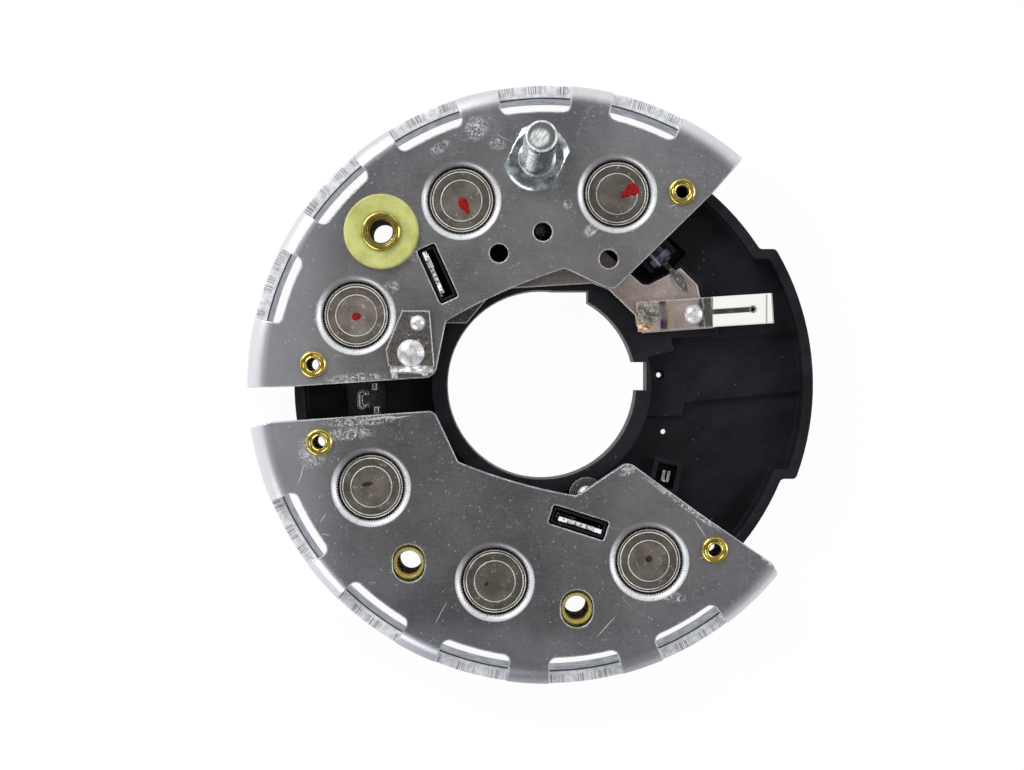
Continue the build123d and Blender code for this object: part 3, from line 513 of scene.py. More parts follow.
@dataclass(frozen=True)
class SheetAluminium(Finish):
    """Rolled aluminium sheet: faint lines, scuffed spots and torn window sills, with painted highlights on its
    edges, bends and diode entry rings, painted light where the light falls, and painted shade on its lower
    bends, inner walls and knurl bites.
    """

    dark: Colour = shade(138, 137, 139)
    light: Colour = shade(166, 164, 166)
    # Painted light: paler colour where the light falls on the sheet's left, right and bottom.
    lit_and_rubbed: Colour = shade(186, 186, 188)
    warm: Colour = shade(214, 200, 196)
    bright: Colour = shade(246, 247, 250)
    torn_dark: Colour = shade(84, 86, 94)
    # Painted shade: blue-grey colour of the inward walls below the sill.
    slate_shade: Colour = shade(96, 102, 116)
    entry: Flat = (6.35, 7.75)
    bite: Flat = (6.52, 0.16)
    knurl_teeth: float = 80.0
    rolled_turn: float = -4.0
    sill_height: float = 9.2 * MM
    wall_inside: float = 55.3 * MM
    sheared_from: float = 56.05 * MM
    bars_per_radian: float = 260.0
    gaps_per_radian: float = 17.0
    scuffs: tuple[tuple[float, float, float, float, float], ...] = (
        (-13.6, 49.0, 2.7, 2.9, 0.0), (-20.6, 45.4, 2.6, 1.3, 30.0), (-9.5, 46.0, 2.0, 1.4, 0.0),
        (3.9, 34.6, 1.3, 1.2, 0.0), (-43.7, 13.0, 1.4, 1.7, 0.0), (-36.4, 1.3, 7.0, 1.2, 3.0),
        (-29.8, 18.8, 1.8, 1.4, 0.0), (-35.5, -6.9, 9.0, 1.2, 4.0), (-38.0, -9.3, 6.0, 1.6, 4.0),
        (-45.0, -12.5, 3.4, 4.2, 0.0), (42.3, -33.6, 1.8, 1.2, -40.0), (-31.0, 28.0, 2.2, 1.6, 40.0),
        (22.8, -40.0, 4.5, 1.6, -20.0), (8.4, 29.8, 2.4, 1.4, 45.0),
        (-26.0, 25.5, 2.6, 1.6, -60.0), (26.0, -22.9, 11.0, 0.8, -35.5), (15.6, -16.2, 2.6, 1.2, 25.0),
    )
    scratches: tuple[tuple[float, float, float, float, float], ...] = (
        (29.2, -27.5, 2.6, 0.10, -57.0), (-8.3, 47.3, 2.3, 0.06, -28.0), (36.6, -27.4, 7.0, 0.12, -38.5),
        (14.8, 33.6, 1.0, 0.08, 70.0), (30.0, -33.0, 1.5, 0.07, 20.0), (-47.1, -17.0, 2.6, 0.09, 73.0),
        (-42.9, -25.4, 1.3, 0.08, 56.0), (-42.4, -28.5, 1.1, 0.07, -10.0), (-20.4, -43.6, 3.2, 0.08, 62.0),
        (11.3, -46.2, 3.4, 0.1, 48.0), (22.4, -32.5, 2.6, 0.08, 76.0), (24.2, 34.4, 1.6, 0.08, 24.0),
        (-37.4, 0.35, 6.4, 0.22, 2.6), (-31.0, -6.3, 6.2, 0.22, 5.0), (-36.2, 1.5, 0.9, 0.1, 80.0),
    )

    def scuffed(self, desk: Desk, coords: Socket) -> Socket:
        """Mask of bright strokes: webs of them in the scuffed spots, specks and a few long scratches.

        Args:
            desk: The material's node tree.
            coords: Object coordinates of the sheet.

        Returns:
            The mask.
        """
        spots: object = 0.06
        for x, y, length, width, turn in self.scuffs:
            spot = desk.near(coords, at(x, y, 0), (length * MM, width * MM), turn)
            spots = desk.most(spots, spot)
        coarse = desk.scuffs(coords, 1000.0, 0.055, 0.53)
        fine = desk.scuffs(coords, 2500.0, 0.1, 0.54)
        hairs = desk.scuffs(coords, 140.0, 0.011, 0.6, Bend=0.0007)
        webs = desk.most(desk.times(coarse, 0.7), desk.times(fine, 0.6))
        specks = desk.nicks(coords, 1700.0, 0.34, 0.6)
        webs = desk.most(webs, desk.patchy(coords, 900.0, 4.0, 0.5, 0.62, 0.0, 0.3))
        marks = desk.most(desk.times(webs, spots), desk.times(specks, 0.26))
        marks = desk.most(marks, desk.times(hairs, 0.1))
        sway = desk.times(desk.less(desk.noise(coords, 300.0, 1.0), 0.5), 0.0008)
        swayed = desk.vector("ADD", coords, sway)
        for x, y, length, width, turn in self.scratches:
            line = desk.near(swayed, at(x, y, 0), (length * MM, width * MM), turn)
            marks = desk.most(marks, desk.times(line, 0.6))
        return marks

    def paint(self, desk: Desk, surface: Node, coords: Socket) -> None:
        """Builds the nodes of the aluminium sheet."""
        edges = desk.effect(Effect.EDGES, Width=0.0005, Gain=9.0)
        rolled = desk.place(coords, turn=self.rolled_turn)
        lines = desk.effect(Effect.GRAIN, Vector=rolled, Across=5200.0, Along=260.0).outputs["Lines"]
        clouds = desk.clouds(coords, 46.0)
        fine = desk.noise(coords, 2600.0, 2.0)
        tone = desk.plus(desk.times(lines, 0.22), desk.times(clouds, 0.58))
        tone = desk.plus(tone, desk.times(fine, 0.2))
        flat = desk.mix(desk.span(tone, 0.38, 0.62), self.dark, self.light)
        warmth = desk.patchy(coords, 55.0, 2.0, 0.5, 0.68)
        flat = desk.mix(desk.times(warmth, 0.3), flat, self.warm, "MULTIPLY")

        axis = desk.place(coords, centre=at(0, 0, 0))
        across, up_picture, height = desk.axes(axis)
        radius = desk.effect(Effect.RINGS, Vector=axis, Pitch=0.0002).outputs["Radius"]
        # Painted light: the sheet is paler towards the left, the right and the bottom, where the light falls.
        painted_light = desk.times(desk.span(across, 5 * MM, 20 * MM), 0.22)
        painted_light = desk.most(desk.span(across, -48 * MM, -36 * MM, 1.0, 0.0), painted_light)
        painted_light = desk.most(desk.span(up_picture, -50 * MM, -43 * MM, 0.3, 0.0), painted_light)
        flat = desk.mix(painted_light, flat, self.lit_and_rubbed)
        bend = desk.span(radius, 54.4 * MM, 56.4 * MM)
        flat = desk.mix(desk.span(radius, 44 * MM, 53 * MM), flat, (1.03, 1.05, 1.1, 1), "MULTIPLY")
        # Painted highlight: the bends are mixed towards white, less towards the bottom of the picture.
        bottom = desk.span(up_picture, -57 * MM, -46 * MM, 0.18, 0.54)
        flat = desk.mix(desk.times(bend, bottom), flat, self.bright)
        # Painted shade: the bends are darkened towards the bottom of the picture.
        slate_shade = desk.times(bend, desk.span(up_picture, -57 * MM, -40 * MM, 0.7, 0.0))
        flat = desk.mix(slate_shade, flat, (0.55, 0.58, 0.64, 1), "MULTIPLY")
        normal = desk.add("NewGeometry").outputs["True Normal"]
        facing = desk.axes(normal)[2]
        entry_highlights: object = 0.0
        knurl_bite_shade: object = 0.0
        low, high = self.entry
        bite, half = self.bite
        for angle in DIODE_ANGLES:
            from_diode = desk.place(coords, centre=polar(DIODE_CIRCLE, angle, 0), scale=(1, 1, 0))
            far = desk.length(from_diode)
            aside, above, _ = desk.axes(from_diode)
            # Painted highlight: a pale ring on each diode's plunged entry, strongest on its side towards the
            # bottom of the picture.
            lit = desk.span(above, 1.0 * MM, 6.0 * MM, 0.66, 0.12)
            # Painted shade: dark ticks round each entry, where the knurl bites the collar, stand for the shade
            # in the gaps between the cup's knurl teeth.
            turn = desk.calc("ARCTAN2", above, aside)
            teeth = desk.span(desk.calc("SINE", desk.times(turn, self.knurl_teeth)), -0.3, 0.3)
            teeth = desk.times(teeth, desk.band(far, bite * MM, half * MM, 0.2))
            knurl_bite_shade = desk.most(knurl_bite_shade, teeth)
            ring = desk.band(far, (low + high) / 2 * MM, (high - low) / 2 * MM, 0.3)
            entry_highlights = desk.most(entry_highlights, desk.times(ring, lit))
        entry_highlights = desk.times(entry_highlights, desk.patchy(coords, 1500.0, 3.0, 0.25, 0.5, 0.6, 1.0))

        level = desk.calc("ABSOLUTE", desk.less(height, self.sill_height))
        outside = desk.over(radius, self.wall_inside - 0.2 * MM)
        on_sill = desk.times(desk.under(level, 0.0004), desk.over(facing, 0.7))
        on_sill = desk.times(on_sill, outside)
        angle = desk.calc("ARCTAN2", up_picture, across)
        bars = desk.line_noise(desk.times(angle, self.bars_per_radian), 1.0)
        slow = desk.line_noise(desk.times(angle, self.gaps_per_radian), 1.0)
        sheared = desk.times(desk.span(bars, 0.48, 0.56), desk.span(slow, 0.36, 0.6))
        sheared = desk.times(sheared, desk.span(radius, self.sheared_from, self.sheared_from + 0.0003))
        torn = desk.patchy(coords, 1100.0, 3.0, 0.36, 0.6)
        sill = desk.mix(torn, shade(218, 221, 227), self.bright)
        sill = desk.mix(desk.times(sheared, 0.85), sill, self.torn_dark)
        sill = desk.mix(desk.band(radius, self.wall_inside + 0.12 * MM, 0.2 * MM), sill, self.torn_dark)
        inward = desk.dot(axis, normal)
        # Painted shade: the inward walls below the sill take a darker blue-grey colour.
        inner_wall = desk.times(desk.under(inward, -0.03), desk.under(height, self.sill_height))
        wall = desk.mix(desk.patchy(coords, 500.0, 2.0, 0.35, 0.65), self.slate_shade, shade(150, 156, 170))

        marks = self.scuffed(desk, coords)
        # Painted highlights: the sheet's edges, patchily, and the entry rings are mixed towards white; the
        # scuff marks are wear.
        lit_and_rubbed = desk.patchy(coords, 600.0, 2.0, 0.3, 0.6, 0.45, 1.0)
        white = desk.most(desk.times(edges.outputs["Mask"], lit_and_rubbed), desk.most(marks, entry_highlights))
        colour = desk.mix(white, flat, self.bright)
        colour = desk.mix(desk.times(knurl_bite_shade, 0.8), colour, self.torn_dark)
        colour = desk.mix(inner_wall, colour, wall)
        desk.set(surface, "Base Color", desk.mix(on_sill, colour, sill))
        white = desk.most(white, desk.times(bend, 0.14))
        matt = desk.most(desk.times(white, 0.85), desk.times(on_sill, 0.8))
        desk.set(surface, "Metallic", desk.less(1.0, matt))
        desk.set(surface, "Roughness", desk.plus(0.33, desk.times(clouds, 0.14)))
        relief = desk.plus(desk.times(lines, 0.3), desk.times(fine, 0.5))
        relief = desk.less(relief, desk.times(desk.times(sheared, on_sill), 4.0))
        desk.set(surface, "Normal", self.bump(desk, relief, 0.000006, edges.outputs["Normal"], 0.6))


@dataclass(frozen=True)
class TurnedMetal(Finish):
    """Turned metal: fine rings round its own middle, a few painted glint rings and rings of painted shade,
    edges painted bright as highlights, and clouds of patina.
    """

    middle: Point = (0.0, 0.0, 0.0)
    dark: Colour = shade(107, 99, 92)
    light: Colour = shade(140, 131, 123)
    shadow: Colour = shade(52, 48, 45)
    bright: Colour = shade(240, 238, 232)
    roughness: float = 0.38
    metal: float = 0.6
    edge: float = 0.00012
    rings: float = 0.35
    step: float = 3.95
    # Painted highlights: radius and half width of thin glint rings.
    glint_rings: tuple[Flat, ...] = ((3.93, 0.1), (5.48, 0.13), (5.93, 0.06))
    dark_rings: tuple[Flat, ...] = ((4.1, 0.09), (5.3, 0.07), (5.68, 0.12), (6.1, 0.12))

    def paint(self, desk: Desk, surface: Node, coords: Socket) -> None:
        """Builds the nodes of the turned metal."""
        edges = desk.effect(Effect.EDGES, Width=self.edge, Gain=2.2)
        turned = desk.effect(Effect.RINGS, Vector=desk.place(coords, centre=self.middle), Pitch=0.00016)
        rings = turned.outputs["Rings"]
        clouds = desk.clouds(coords, 300.0)
        fine = desk.noise(coords, 4200.0, 3.0, 0.65)
        scuffs = desk.scuffs(coords, 700.0, 0.035, 0.62)
        tone = desk.plus(desk.times(rings, self.rings), desk.times(clouds, 0.75 - self.rings))
        tone = desk.plus(tone, desk.times(fine, 0.25))
        colour = desk.mix(desk.span(tone, 0.38, 0.62), self.dark, self.light)
        outer = desk.span(turned.outputs["Radius"], self.step * MM, (self.step + 0.12) * MM)
        colour = desk.mix(outer, colour, (0.76, 0.76, 0.76, 1), "MULTIPLY")
        for radius, half in self.dark_rings:
            there = desk.band(turned.outputs["Radius"], radius * MM, half * MM)
            colour = desk.mix(desk.times(there, 0.7), colour, self.shadow)
        # Painted highlights: the edges and the glint rings are mixed towards bright; the scuffs are wear.
        white: object = desk.most(edges.outputs["Mask"], desk.times(scuffs, 0.35))
        uneven = desk.patchy(coords, 350.0, 2.0, 0.3, 0.6, 0.55, 1.0)
        for radius, half in self.glint_rings:
            there = desk.band(turned.outputs["Radius"], radius * MM, half * MM)
            white = desk.most(white, desk.times(there, uneven))
        desk.set(surface, "Base Color", desk.mix(white, colour, self.bright))
        desk.set(surface, "Metallic", desk.less(self.metal, desk.times(white, 0.5 * self.metal)))
        desk.rough(surface, clouds, self.roughness - 0.06, self.roughness + 0.08)
        relief = desk.plus(rings, desk.times(fine, 0.6))
        desk.set(surface, "Normal", self.bump(desk, relief, 0.000004, edges.outputs["Normal"], 0.5))


@dataclass(frozen=True)
class SpunBrass(Finish):
    """Spun brass: yellow flanks, edges painted bright as highlights, a ring of painted shade where the lip
    folds, and a bore painted dark brown as shade.
    """

    middle: Point = (0.0, 0.0, 0.0)
    bore: float = 1.15
    dark: Colour = shade(158, 136, 62)
    light: Colour = shade(220, 202, 114)
    bright: Colour = shade(254, 246, 186)
    # Painted shade: dark brown of the bore.
    inside: Colour = shade(70, 56, 28)
    crease_shade: Colour = shade(96, 78, 30)
    metal: float = 0.9

    def paint(self, desk: Desk, surface: Node, coords: Socket) -> None:
        """Builds the nodes of the spun brass."""
        edges = desk.effect(Effect.EDGES, Width=0.00014, Gain=2.6)
        turned = desk.effect(Effect.RINGS, Vector=desk.place(coords, centre=self.middle), Pitch=0.0003)
        clouds = desk.clouds(coords, 900.0)
        tone = desk.plus(desk.times(turned.outputs["Rings"], 0.4), desk.times(clouds, 0.6))
        colour = desk.mix(desk.span(tone, 0.36, 0.64), self.dark, self.light)
        # Painted shade: a dark ring where the lip folds over.
        crease_shade = desk.band(turned.outputs["Radius"], (self.bore + 0.55) * MM, 0.16 * MM)
        colour = desk.mix(desk.times(crease_shade, 0.7), colour, self.crease_shade)
        # Painted highlight: the edges are mixed towards bright.
        colour = desk.mix(edges.outputs["Mask"], colour, self.bright)
        # Painted shade: inside the bore the brass is painted dark brown, not metallic and rough, as the deep
        # hole lies in shade.
        low, high = (self.bore + 0.06) * MM, (self.bore + 0.24) * MM
        within = desk.span(turned.outputs["Radius"], low, high, 1.0, 0.0)
        brown = desk.mix(desk.patchy(coords, 1400.0, 2.0, 0.4, 0.62), self.inside, shade(122, 98, 50))
        desk.set(surface, "Base Color", desk.mix(within, colour, brown))
        desk.set(surface, "Specular IOR Level", 0.08)
        desk.set(surface, "Metallic", desk.span(within, 0.0, 1.0, self.metal, 0.0))
        polish = desk.span(clouds, 0.3, 0.7, 0.15, 0.24)
        desk.set(surface, "Roughness", desk.most(polish, desk.times(within, 0.85)))
        desk.set(surface, "Normal", self.bump(desk, clouds, 0.000002, edges.outputs["Normal"], 0.4))


@dataclass(frozen=True)
class Plated(Finish):
    """Plated or tinned metal with clouds and small nicks, its edges painted bright as highlights."""

    dark: Colour = shade(176, 184, 188)
    light: Colour = shade(226, 232, 234)
    bright: Colour = shade(248, 250, 252)
    roughness: float = 0.28
    metal: float = 1.0
    edge: float = 0.0002
    edge_gain: float = 2.6
    cloud_scale: float = 300.0
    nick_cover: float = 0.55

    def aged(self, desk: Desk, coords: Socket, colour: object) -> tuple[object, object]:
        """Marks that only some pieces have.

        Args:
            desk: The material's node tree.
            coords: Object coordinates of the piece.
            colour: Colour without them.

        Returns:
            The colour with them, and how far they make the metal dull.
        """
        return colour, 0.0

    def paint(self, desk: Desk, surface: Node, coords: Socket) -> None:
        """Builds the nodes of the plated metal."""
        edges = desk.effect(Effect.EDGES, Width=self.edge, Gain=self.edge_gain)
        clouds = desk.clouds(coords, self.cloud_scale)
        nicks = desk.nicks(coords, 1700.0, 0.3, self.nick_cover)
        fine = desk.noise(coords, 5200.0, 2.0)
        tone = desk.plus(desk.times(clouds, 0.75), desk.times(fine, 0.25))
        colour = desk.mix(desk.span(tone, 0.38, 0.62), self.dark, self.light)
        colour, dull = self.aged(desk, coords, colour)
        # Painted highlights: the edges are mixed towards bright; the nicks are wear.
        white = desk.most(edges.outputs["Mask"], desk.times(nicks, 0.5))
        desk.set(surface, "Base Color", desk.mix(white, colour, self.bright))
        lost = desk.most(desk.times(white, 0.5 * self.metal), dull)
        desk.set(surface, "Metallic", desk.less(self.metal, lost, clamp=True))
        desk.rough(surface, clouds, self.roughness - 0.06, self.roughness + 0.1)
        desk.set(surface, "Normal", self.bump(desk, fine, 0.000003, edges.outputs["Normal"], 0.4))


@dataclass(frozen=True)
class StudPlate(Plated):
    """Zinc plate of the stud: painted shade on the thread, weakest on its lit side towards -X, and a filed tip
    with a painted highlight on its rim.
    """

    axis: Flat = (-2.07, 43.15)
    tip: float = 52.3
    thread: Flat = (17.6, 52.0)
    thread_shade: Colour = shade(112, 114, 120)
    tip_grey: Colour = shade(104, 108, 106)

    def aged(self, desk: Desk, coords: Socket, colour: object) -> tuple[object, object]:
        """Paints shade on the thread and files the tip, with a highlight on its rim."""
        foot, top = self.thread
        here = desk.place(coords, centre=at(*self.axis, 0))
        across, _, level = desk.axes(here)
        inside = desk.band(level, (foot + top) / 2 * MM, (top - foot) / 2 * MM, 0.05)
        # Painted shade on the thread, weakest on the lit side towards -X.
        side = desk.span(across, -2.3 * MM, -0.5 * MM, 0.12, 1.0)
        colour = desk.mix(desk.times(inside, side), colour, self.thread_shade, "MULTIPLY")
        around = desk.effect(Effect.RINGS, Vector=here, Pitch=0.0003).outputs["Radius"]
        # Painted highlight: the tip's rounded rim is mixed towards bright; the patch beside it is filed.
        rim = desk.span(around, 2.25 * MM, 2.5 * MM)
        patch = desk.near(here, (-0.35 * MM, -0.35 * MM, 0), (2.1 * MM, 1.9 * MM), 20.0)
        drawn_out = desk.place(here, turn=60.0, scale=(1, 4, 1))
        streaks = desk.patchy(drawn_out, 900.0, 3.0, 0.4, 0.6, 0.45, 1.0)
        filed = desk.mix(desk.times(desk.most(rim, patch), streaks), self.tip_grey, self.bright)
        tip = desk.over(level, self.tip * MM)
        return desk.mix(tip, colour, filed), desk.times(tip, 0.75)


@dataclass(frozen=True)
class TornBlade(Plated):
    """Tinned strip whose standing blade is bright and scraped lengthwise at its top."""

    top: float = 7.6
    scraped: Colour = shade(120, 117, 114)

    def aged(self, desk: Desk, coords: Socket, colour: object) -> tuple[object, object]:
        """Scrapes the blade's top."""
        above = desk.over(desk.axes(coords)[2], self.top * MM)
        rip = desk.patchy(coords, 1500.0, 3.0, 0.38, 0.52)
        return desk.mix(above, colour, desk.mix(rip, self.scraped, self.bright)), desk.times(above, 0.4)


@dataclass(frozen=True)
class BracketSteel(Plated):
    """Rolled steel whose bent lip is painted bright in patches, as a highlight."""

    lip: tuple[float, float, float, float, float] = (-26.0, 2.1, 5.4, 2.1, 3.0)

    def aged(self, desk: Desk, coords: Socket, colour: object) -> tuple[object, object]:
        """Paints a patchy highlight on the lip."""
        x, y, length, width, turn = self.lip
        # Painted highlight: the bent lip is mixed towards bright in patches.
        spot = desk.near(coords, at(x, y, 0), (length * MM, width * MM), turn)
        patchy = desk.patchy(coords, 900.0, 3.0, 0.4, 0.6, 0.25, 1.0)
        shown = desk.times(spot, patchy)
        return desk.mix(shown, colour, self.bright), desk.times(shown, 0.5)


@dataclass(frozen=True)
class HeatedStrip(Finish):
    """Tinned contact strip: coloured by the weld's heat, and on the contact bright towards its free end, with
    painted shade before that bright part and along its end line.
    """

    plain_dark: Colour = shade(148, 133, 127)
    plain_light: Colour = shade(174, 160, 154)
    bright: Colour = shade(244, 240, 234)
    blue: Colour = shade(28, 36, 84)
    purple: Colour = shade(84, 44, 34)
    gold: Colour = shade(196, 140, 84)
    brown: Colour = shade(96, 52, 26)
    shaded: Colour = shade(66, 66, 68)
    # Painted shade: dark grey before the contact's bright end and along its end line.
    dull: Colour = shade(72, 70, 65)
    tinned: Colour = shade(242, 242, 238)
    pressed: Colour = shade(104, 100, 80)
    free_end: bool = False

    def heated(self, desk: Desk, coords: Socket, colour: object) -> Socket:
        """Colours that the weld's heat left: a gold patch below it with painted highlight spots, and a blue
        band that turns purple.

        Args:
            desk: The material's node tree.
            coords: Object coordinates of the piece.
            colour: Colour without the heat.

        Returns:
            The colour with the heat's marks.
        """
        along, aside, _ = desk.axes(desk.place(coords, at(*WELD_PLACE, 0), CONTACT_ANGLE))
        sway = desk.times(desk.less(desk.noise(coords, 520.0, 2.0), 0.5), 0.0011)
        x = desk.plus(along, sway)
        sides = desk.span(desk.calc("ABSOLUTE", aside), 0.8 * MM, 2.2 * MM, 0.5, 1.0)
        gold = desk.near(coords, at(18.3, 11.9, 0), (2.7 * MM, 2.2 * MM), -35.0)
        spotted = desk.mix(desk.patchy(coords, 1100.0, 3.0, 0.38, 0.56), self.brown, self.gold)
        # Painted highlight: near-white spots on the gold patch.
        spotted = desk.mix(desk.patchy(coords, 800.0, 2.0, 0.52, 0.6), spotted, shade(255, 240, 205))
        colour = desk.mix(gold, colour, spotted)
        straw = desk.band(x, 4.3 * MM, 1.0 * MM, 0.9)
        colour = desk.mix(desk.times(straw, 0.5), colour, shade(162, 154, 104))
        purple = desk.band(x, 3.3 * MM, 0.85 * MM, 0.9)
        colour = desk.mix(desk.times(purple, sides), colour, self.purple)
        blue = desk.band(x, 2.6 * MM, 0.62 * MM, 0.6)
        return desk.mix(desk.times(blue, sides), colour, self.blue)

    def paint(self, desk: Desk, surface: Node, coords: Socket) -> None:
        """Builds the nodes of the heated strip."""
        edges = desk.effect(Effect.EDGES, Width=0.00055, Gain=6.0)
        clouds = desk.clouds(coords, 170.0)
        fine = desk.noise(coords, 3600.0, 3.0)
        nicks = desk.scuffs(coords, 1600.0, 0.07, 0.6)
        tone = desk.plus(desk.times(clouds, 0.6), desk.times(fine, 0.4))
        colour = desk.mix(desk.span(tone, 0.38, 0.62), self.plain_dark, self.plain_light)
        x = desk.axes(desk.place(coords, centre=at(0, 0, 0)))[0]
        worn: object = 0.0
        # Painted highlight: the edges are mixed towards bright, except in the pressed groove.
        rim: object = edges.outputs["Mask"]
        if self.free_end:
            colour = self.heated(desk, coords, colour)
            # Painted shade: dark band before the bright part.
            colour = desk.mix(desk.span(x, 29.1 * MM, 29.5 * MM), colour, self.dull)
            worn = desk.span(x, 31.78 * MM, 31.9 * MM)
            colour = desk.mix(worn, colour, self.tinned)
            # Painted shade: a dark line along the bend at the end.
            end = desk.band(x, 42.15 * MM, 0.2 * MM)
            colour = desk.mix(desk.times(end, 0.6), colour, self.dull)
            along, aside, _ = desk.axes(desk.place(coords, at(*CONTACT_FOOT, 0), CONTACT_ANGLE))
            ending = desk.span(along, 22.2 * MM, 22.3 * MM, 1.0, 0.0)
            pressed = desk.times(desk.band(aside, 0.0, 0.56 * MM, 0.15), ending)
            colour = desk.mix(desk.times(pressed, worn), colour, self.pressed)
            rim = desk.times(rim, desk.less(1.0, pressed))
        else:
            gold = desk.near(coords, at(17.9, 11.6, 0), (1.7 * MM, 1.3 * MM), -35.0)
            colour = desk.mix(gold, colour, self.brown)
            colour = desk.mix(desk.span(x, -10 * MM, 12 * MM, 1.0, 0.0), colour, self.shaded)
        marked = desk.mix(desk.times(nicks, 0.25), colour, self.bright)
        desk.set(surface, "Base Color", desk.mix(rim, marked, self.bright))
        desk.set(surface, "Metallic", desk.span(worn, 0.0, 1.0, 0.4, 0.1))
        desk.rough(surface, clouds, 0.34, 0.48)
        desk.set(surface, "Normal", self.bump(desk, fine, 0.000005, edges.outputs["Normal"], 0.5))


@dataclass(frozen=True)
class MouldedPlastic(Finish):
    """Satin moulded plastic: fine texture, slow flow marks, soft edges and a little pale dust."""

    dark: Colour = shade(18, 18, 22)
    light: Colour = shade(29, 29, 35)
    dust: Colour = shade(110, 110, 114)
    roughness: float = 0.48
    dust_cover: float = 0.74
    gloss: float = 0.16

    def paint(self, desk: Desk, surface: Node, coords: Socket) -> None:
        """Builds the nodes of the moulded plastic."""
        edges = desk.effect(Effect.EDGES, Width=0.0005, Gain=1.2)
        clouds = desk.clouds(desk.place(coords, turn=30.0, scale=(1, 2.2, 1)), 70.0)
        dust = desk.nicks(coords, 1100.0, 0.2, self.dust_cover)
        flat = desk.mix(desk.span(clouds, 0.35, 0.65), self.dark, self.light)
        desk.set(surface, "Base Color", desk.mix(desk.times(dust, 0.4), flat, self.dust))
        desk.set(surface, "Specular IOR Level", self.gloss)
        worn = desk.patchy(coords, 900.0, 3.0, 0.3, 0.7, self.roughness - 0.05, self.roughness + 0.07)
        desk.set(surface, "Roughness", worn)
        fine = desk.noise(coords, 7000.0, 2.0)
        desk.set(surface, "Normal", self.bump(desk, fine, 0.000012, edges.outputs["Normal"], 0.35))


@dataclass(frozen=True)
class BandedBody(Finish):
    """Black glass-like diode body with a violet grey band near its inner end."""

    centre: Point = (0.0, 0.0, 0.0)
    turn: float = 0.0
    band_at: Flat = (0.9, 2.4)
    body: Colour = shade(16, 15, 18)
    band_dark: Colour = shade(58, 54, 74)
    band_light: Colour = shade(104, 100, 124)
    edge_grey: Colour = shade(120, 120, 130)

    def paint(self, desk: Desk, surface: Node, coords: Socket) -> None:
        """Builds the nodes of the banded body."""
        edges = desk.effect(Effect.EDGES, Width=0.0002, Gain=2.0)
        along = desk.axes(desk.place(coords, self.centre, self.turn))[0]
        middle, half = sum(self.band_at) / 2 * MM, (self.band_at[1] - self.band_at[0]) / 2 * MM
        clouds = desk.clouds(coords, 700.0)
        ring = desk.mix(desk.span(clouds, 0.4, 0.6), self.band_dark, self.band_light)
        colour = desk.mix(desk.band(along, middle, half, 0.3), self.body, ring)
        # Painted highlight: the edges are mixed towards light grey.
        worn = desk.times(edges.outputs["Mask"], 0.3)
        desk.set(surface, "Base Color", desk.mix(worn, colour, self.edge_grey))
        desk.rough(surface, clouds, 0.22, 0.34)
        desk.set(surface, "Normal", self.bump(desk, clouds, 0.00001, edges.outputs["Normal"], 0.4))


@dataclass(frozen=True)
class CastPlastic(Finish):
    """Cast or turned plastic and resin, with a faint mottle and no metal in it."""

    dark: Colour = shade(196, 206, 146)
    light: Colour = shade(220, 226, 172)
    roughness: float = 0.36
    glow: float = 0.0
    mottle: float = 500.0
    depth: float = 0.000008

    def paint(self, desk: Desk, surface: Node, coords: Socket) -> None:
        """Builds the nodes of the cast plastic."""
        edges = desk.effect(Effect.EDGES, Width=0.00022, Gain=1.0)
        clouds = desk.clouds(coords, self.mottle)
        desk.set(surface, "Base Color", desk.mix(desk.span(clouds, 0.34, 0.66), self.dark, self.light))
        desk.rough(surface, clouds, self.roughness - 0.05, self.roughness + 0.06)
        desk.set(surface, "Subsurface Weight", self.glow)
        desk.set(surface, "Subsurface Scale", 0.0012)
        height = desk.noise(coords, 3400.0, 2.0)
        desk.set(surface, "Normal", self.bump(desk, height, self.depth, edges.outputs["Normal"], 0.4))


@dataclass(frozen=True)
class Brush(Finish):
    """A dab of paint or ink, thin at its edges."""

    dark: Colour = shade(120, 22, 20)
    light: Colour = shade(178, 38, 34)
    roughness: float = 0.42

    def paint(self, desk: Desk, surface: Node, coords: Socket) -> None:
        """Builds the nodes of the paint."""
        streaks = desk.noise(desk.place(coords, turn=35.0, scale=(1, 3, 1)), 1500.0, 3.0)
        desk.set(surface, "Base Color", desk.mix(desk.span(streaks, 0.38, 0.62), self.dark, self.light))
        desk.set(surface, "Specular IOR Level", 0.2)
        desk.rough(surface, streaks, self.roughness - 0.08, self.roughness + 0.08)
        normal = desk.add("NewGeometry").outputs["Normal"]
        desk.set(surface, "Normal", self.bump(desk, streaks, 0.00002, normal, 0.4))


UPPER_SHEET = SheetAluminium("upper_sheet_aluminium")
# Painted shade: the lower sheet takes darker colours than the upper one.
SHADED_LOWER_SHEET = SheetAluminium("shaded_lower_sheet_aluminium", dark=shade(118, 118, 121), light=shade(144, 143, 146))
PLASTIC = MouldedPlastic("moulded_plastic")
RESIN = CastPlastic(
    "cast_resin", dark=shade(70, 52, 42), light=shade(98, 76, 60), roughness=0.5, mottle=700.0
)
POLYAMIDE = CastPlastic(
    "polyamide", dark=shade(170, 174, 98), light=shade(198, 200, 126), glow=0.2, mottle=200.0
)
ZINC = StudPlate(
    "zinc_plate", dark=shade(150, 160, 164), light=shade(224, 231, 232), roughness=0.2, edge=0.00025,
    edge_gain=3.4, cloud_scale=520.0,
)
RIVET_ZINC = Plated(
    "rivet_plate", dark=shade(186, 186, 188), light=shade(244, 244, 246), roughness=0.3, metal=0.5,
    cloud_scale=650.0,
)
DULL_STEEL = BracketSteel(
    "rolled_steel", dark=shade(86, 82, 78), light=shade(120, 114, 109), roughness=0.4, metal=0.7,
    edge=0.0005, edge_gain=6.0, cloud_scale=2400.0,
)
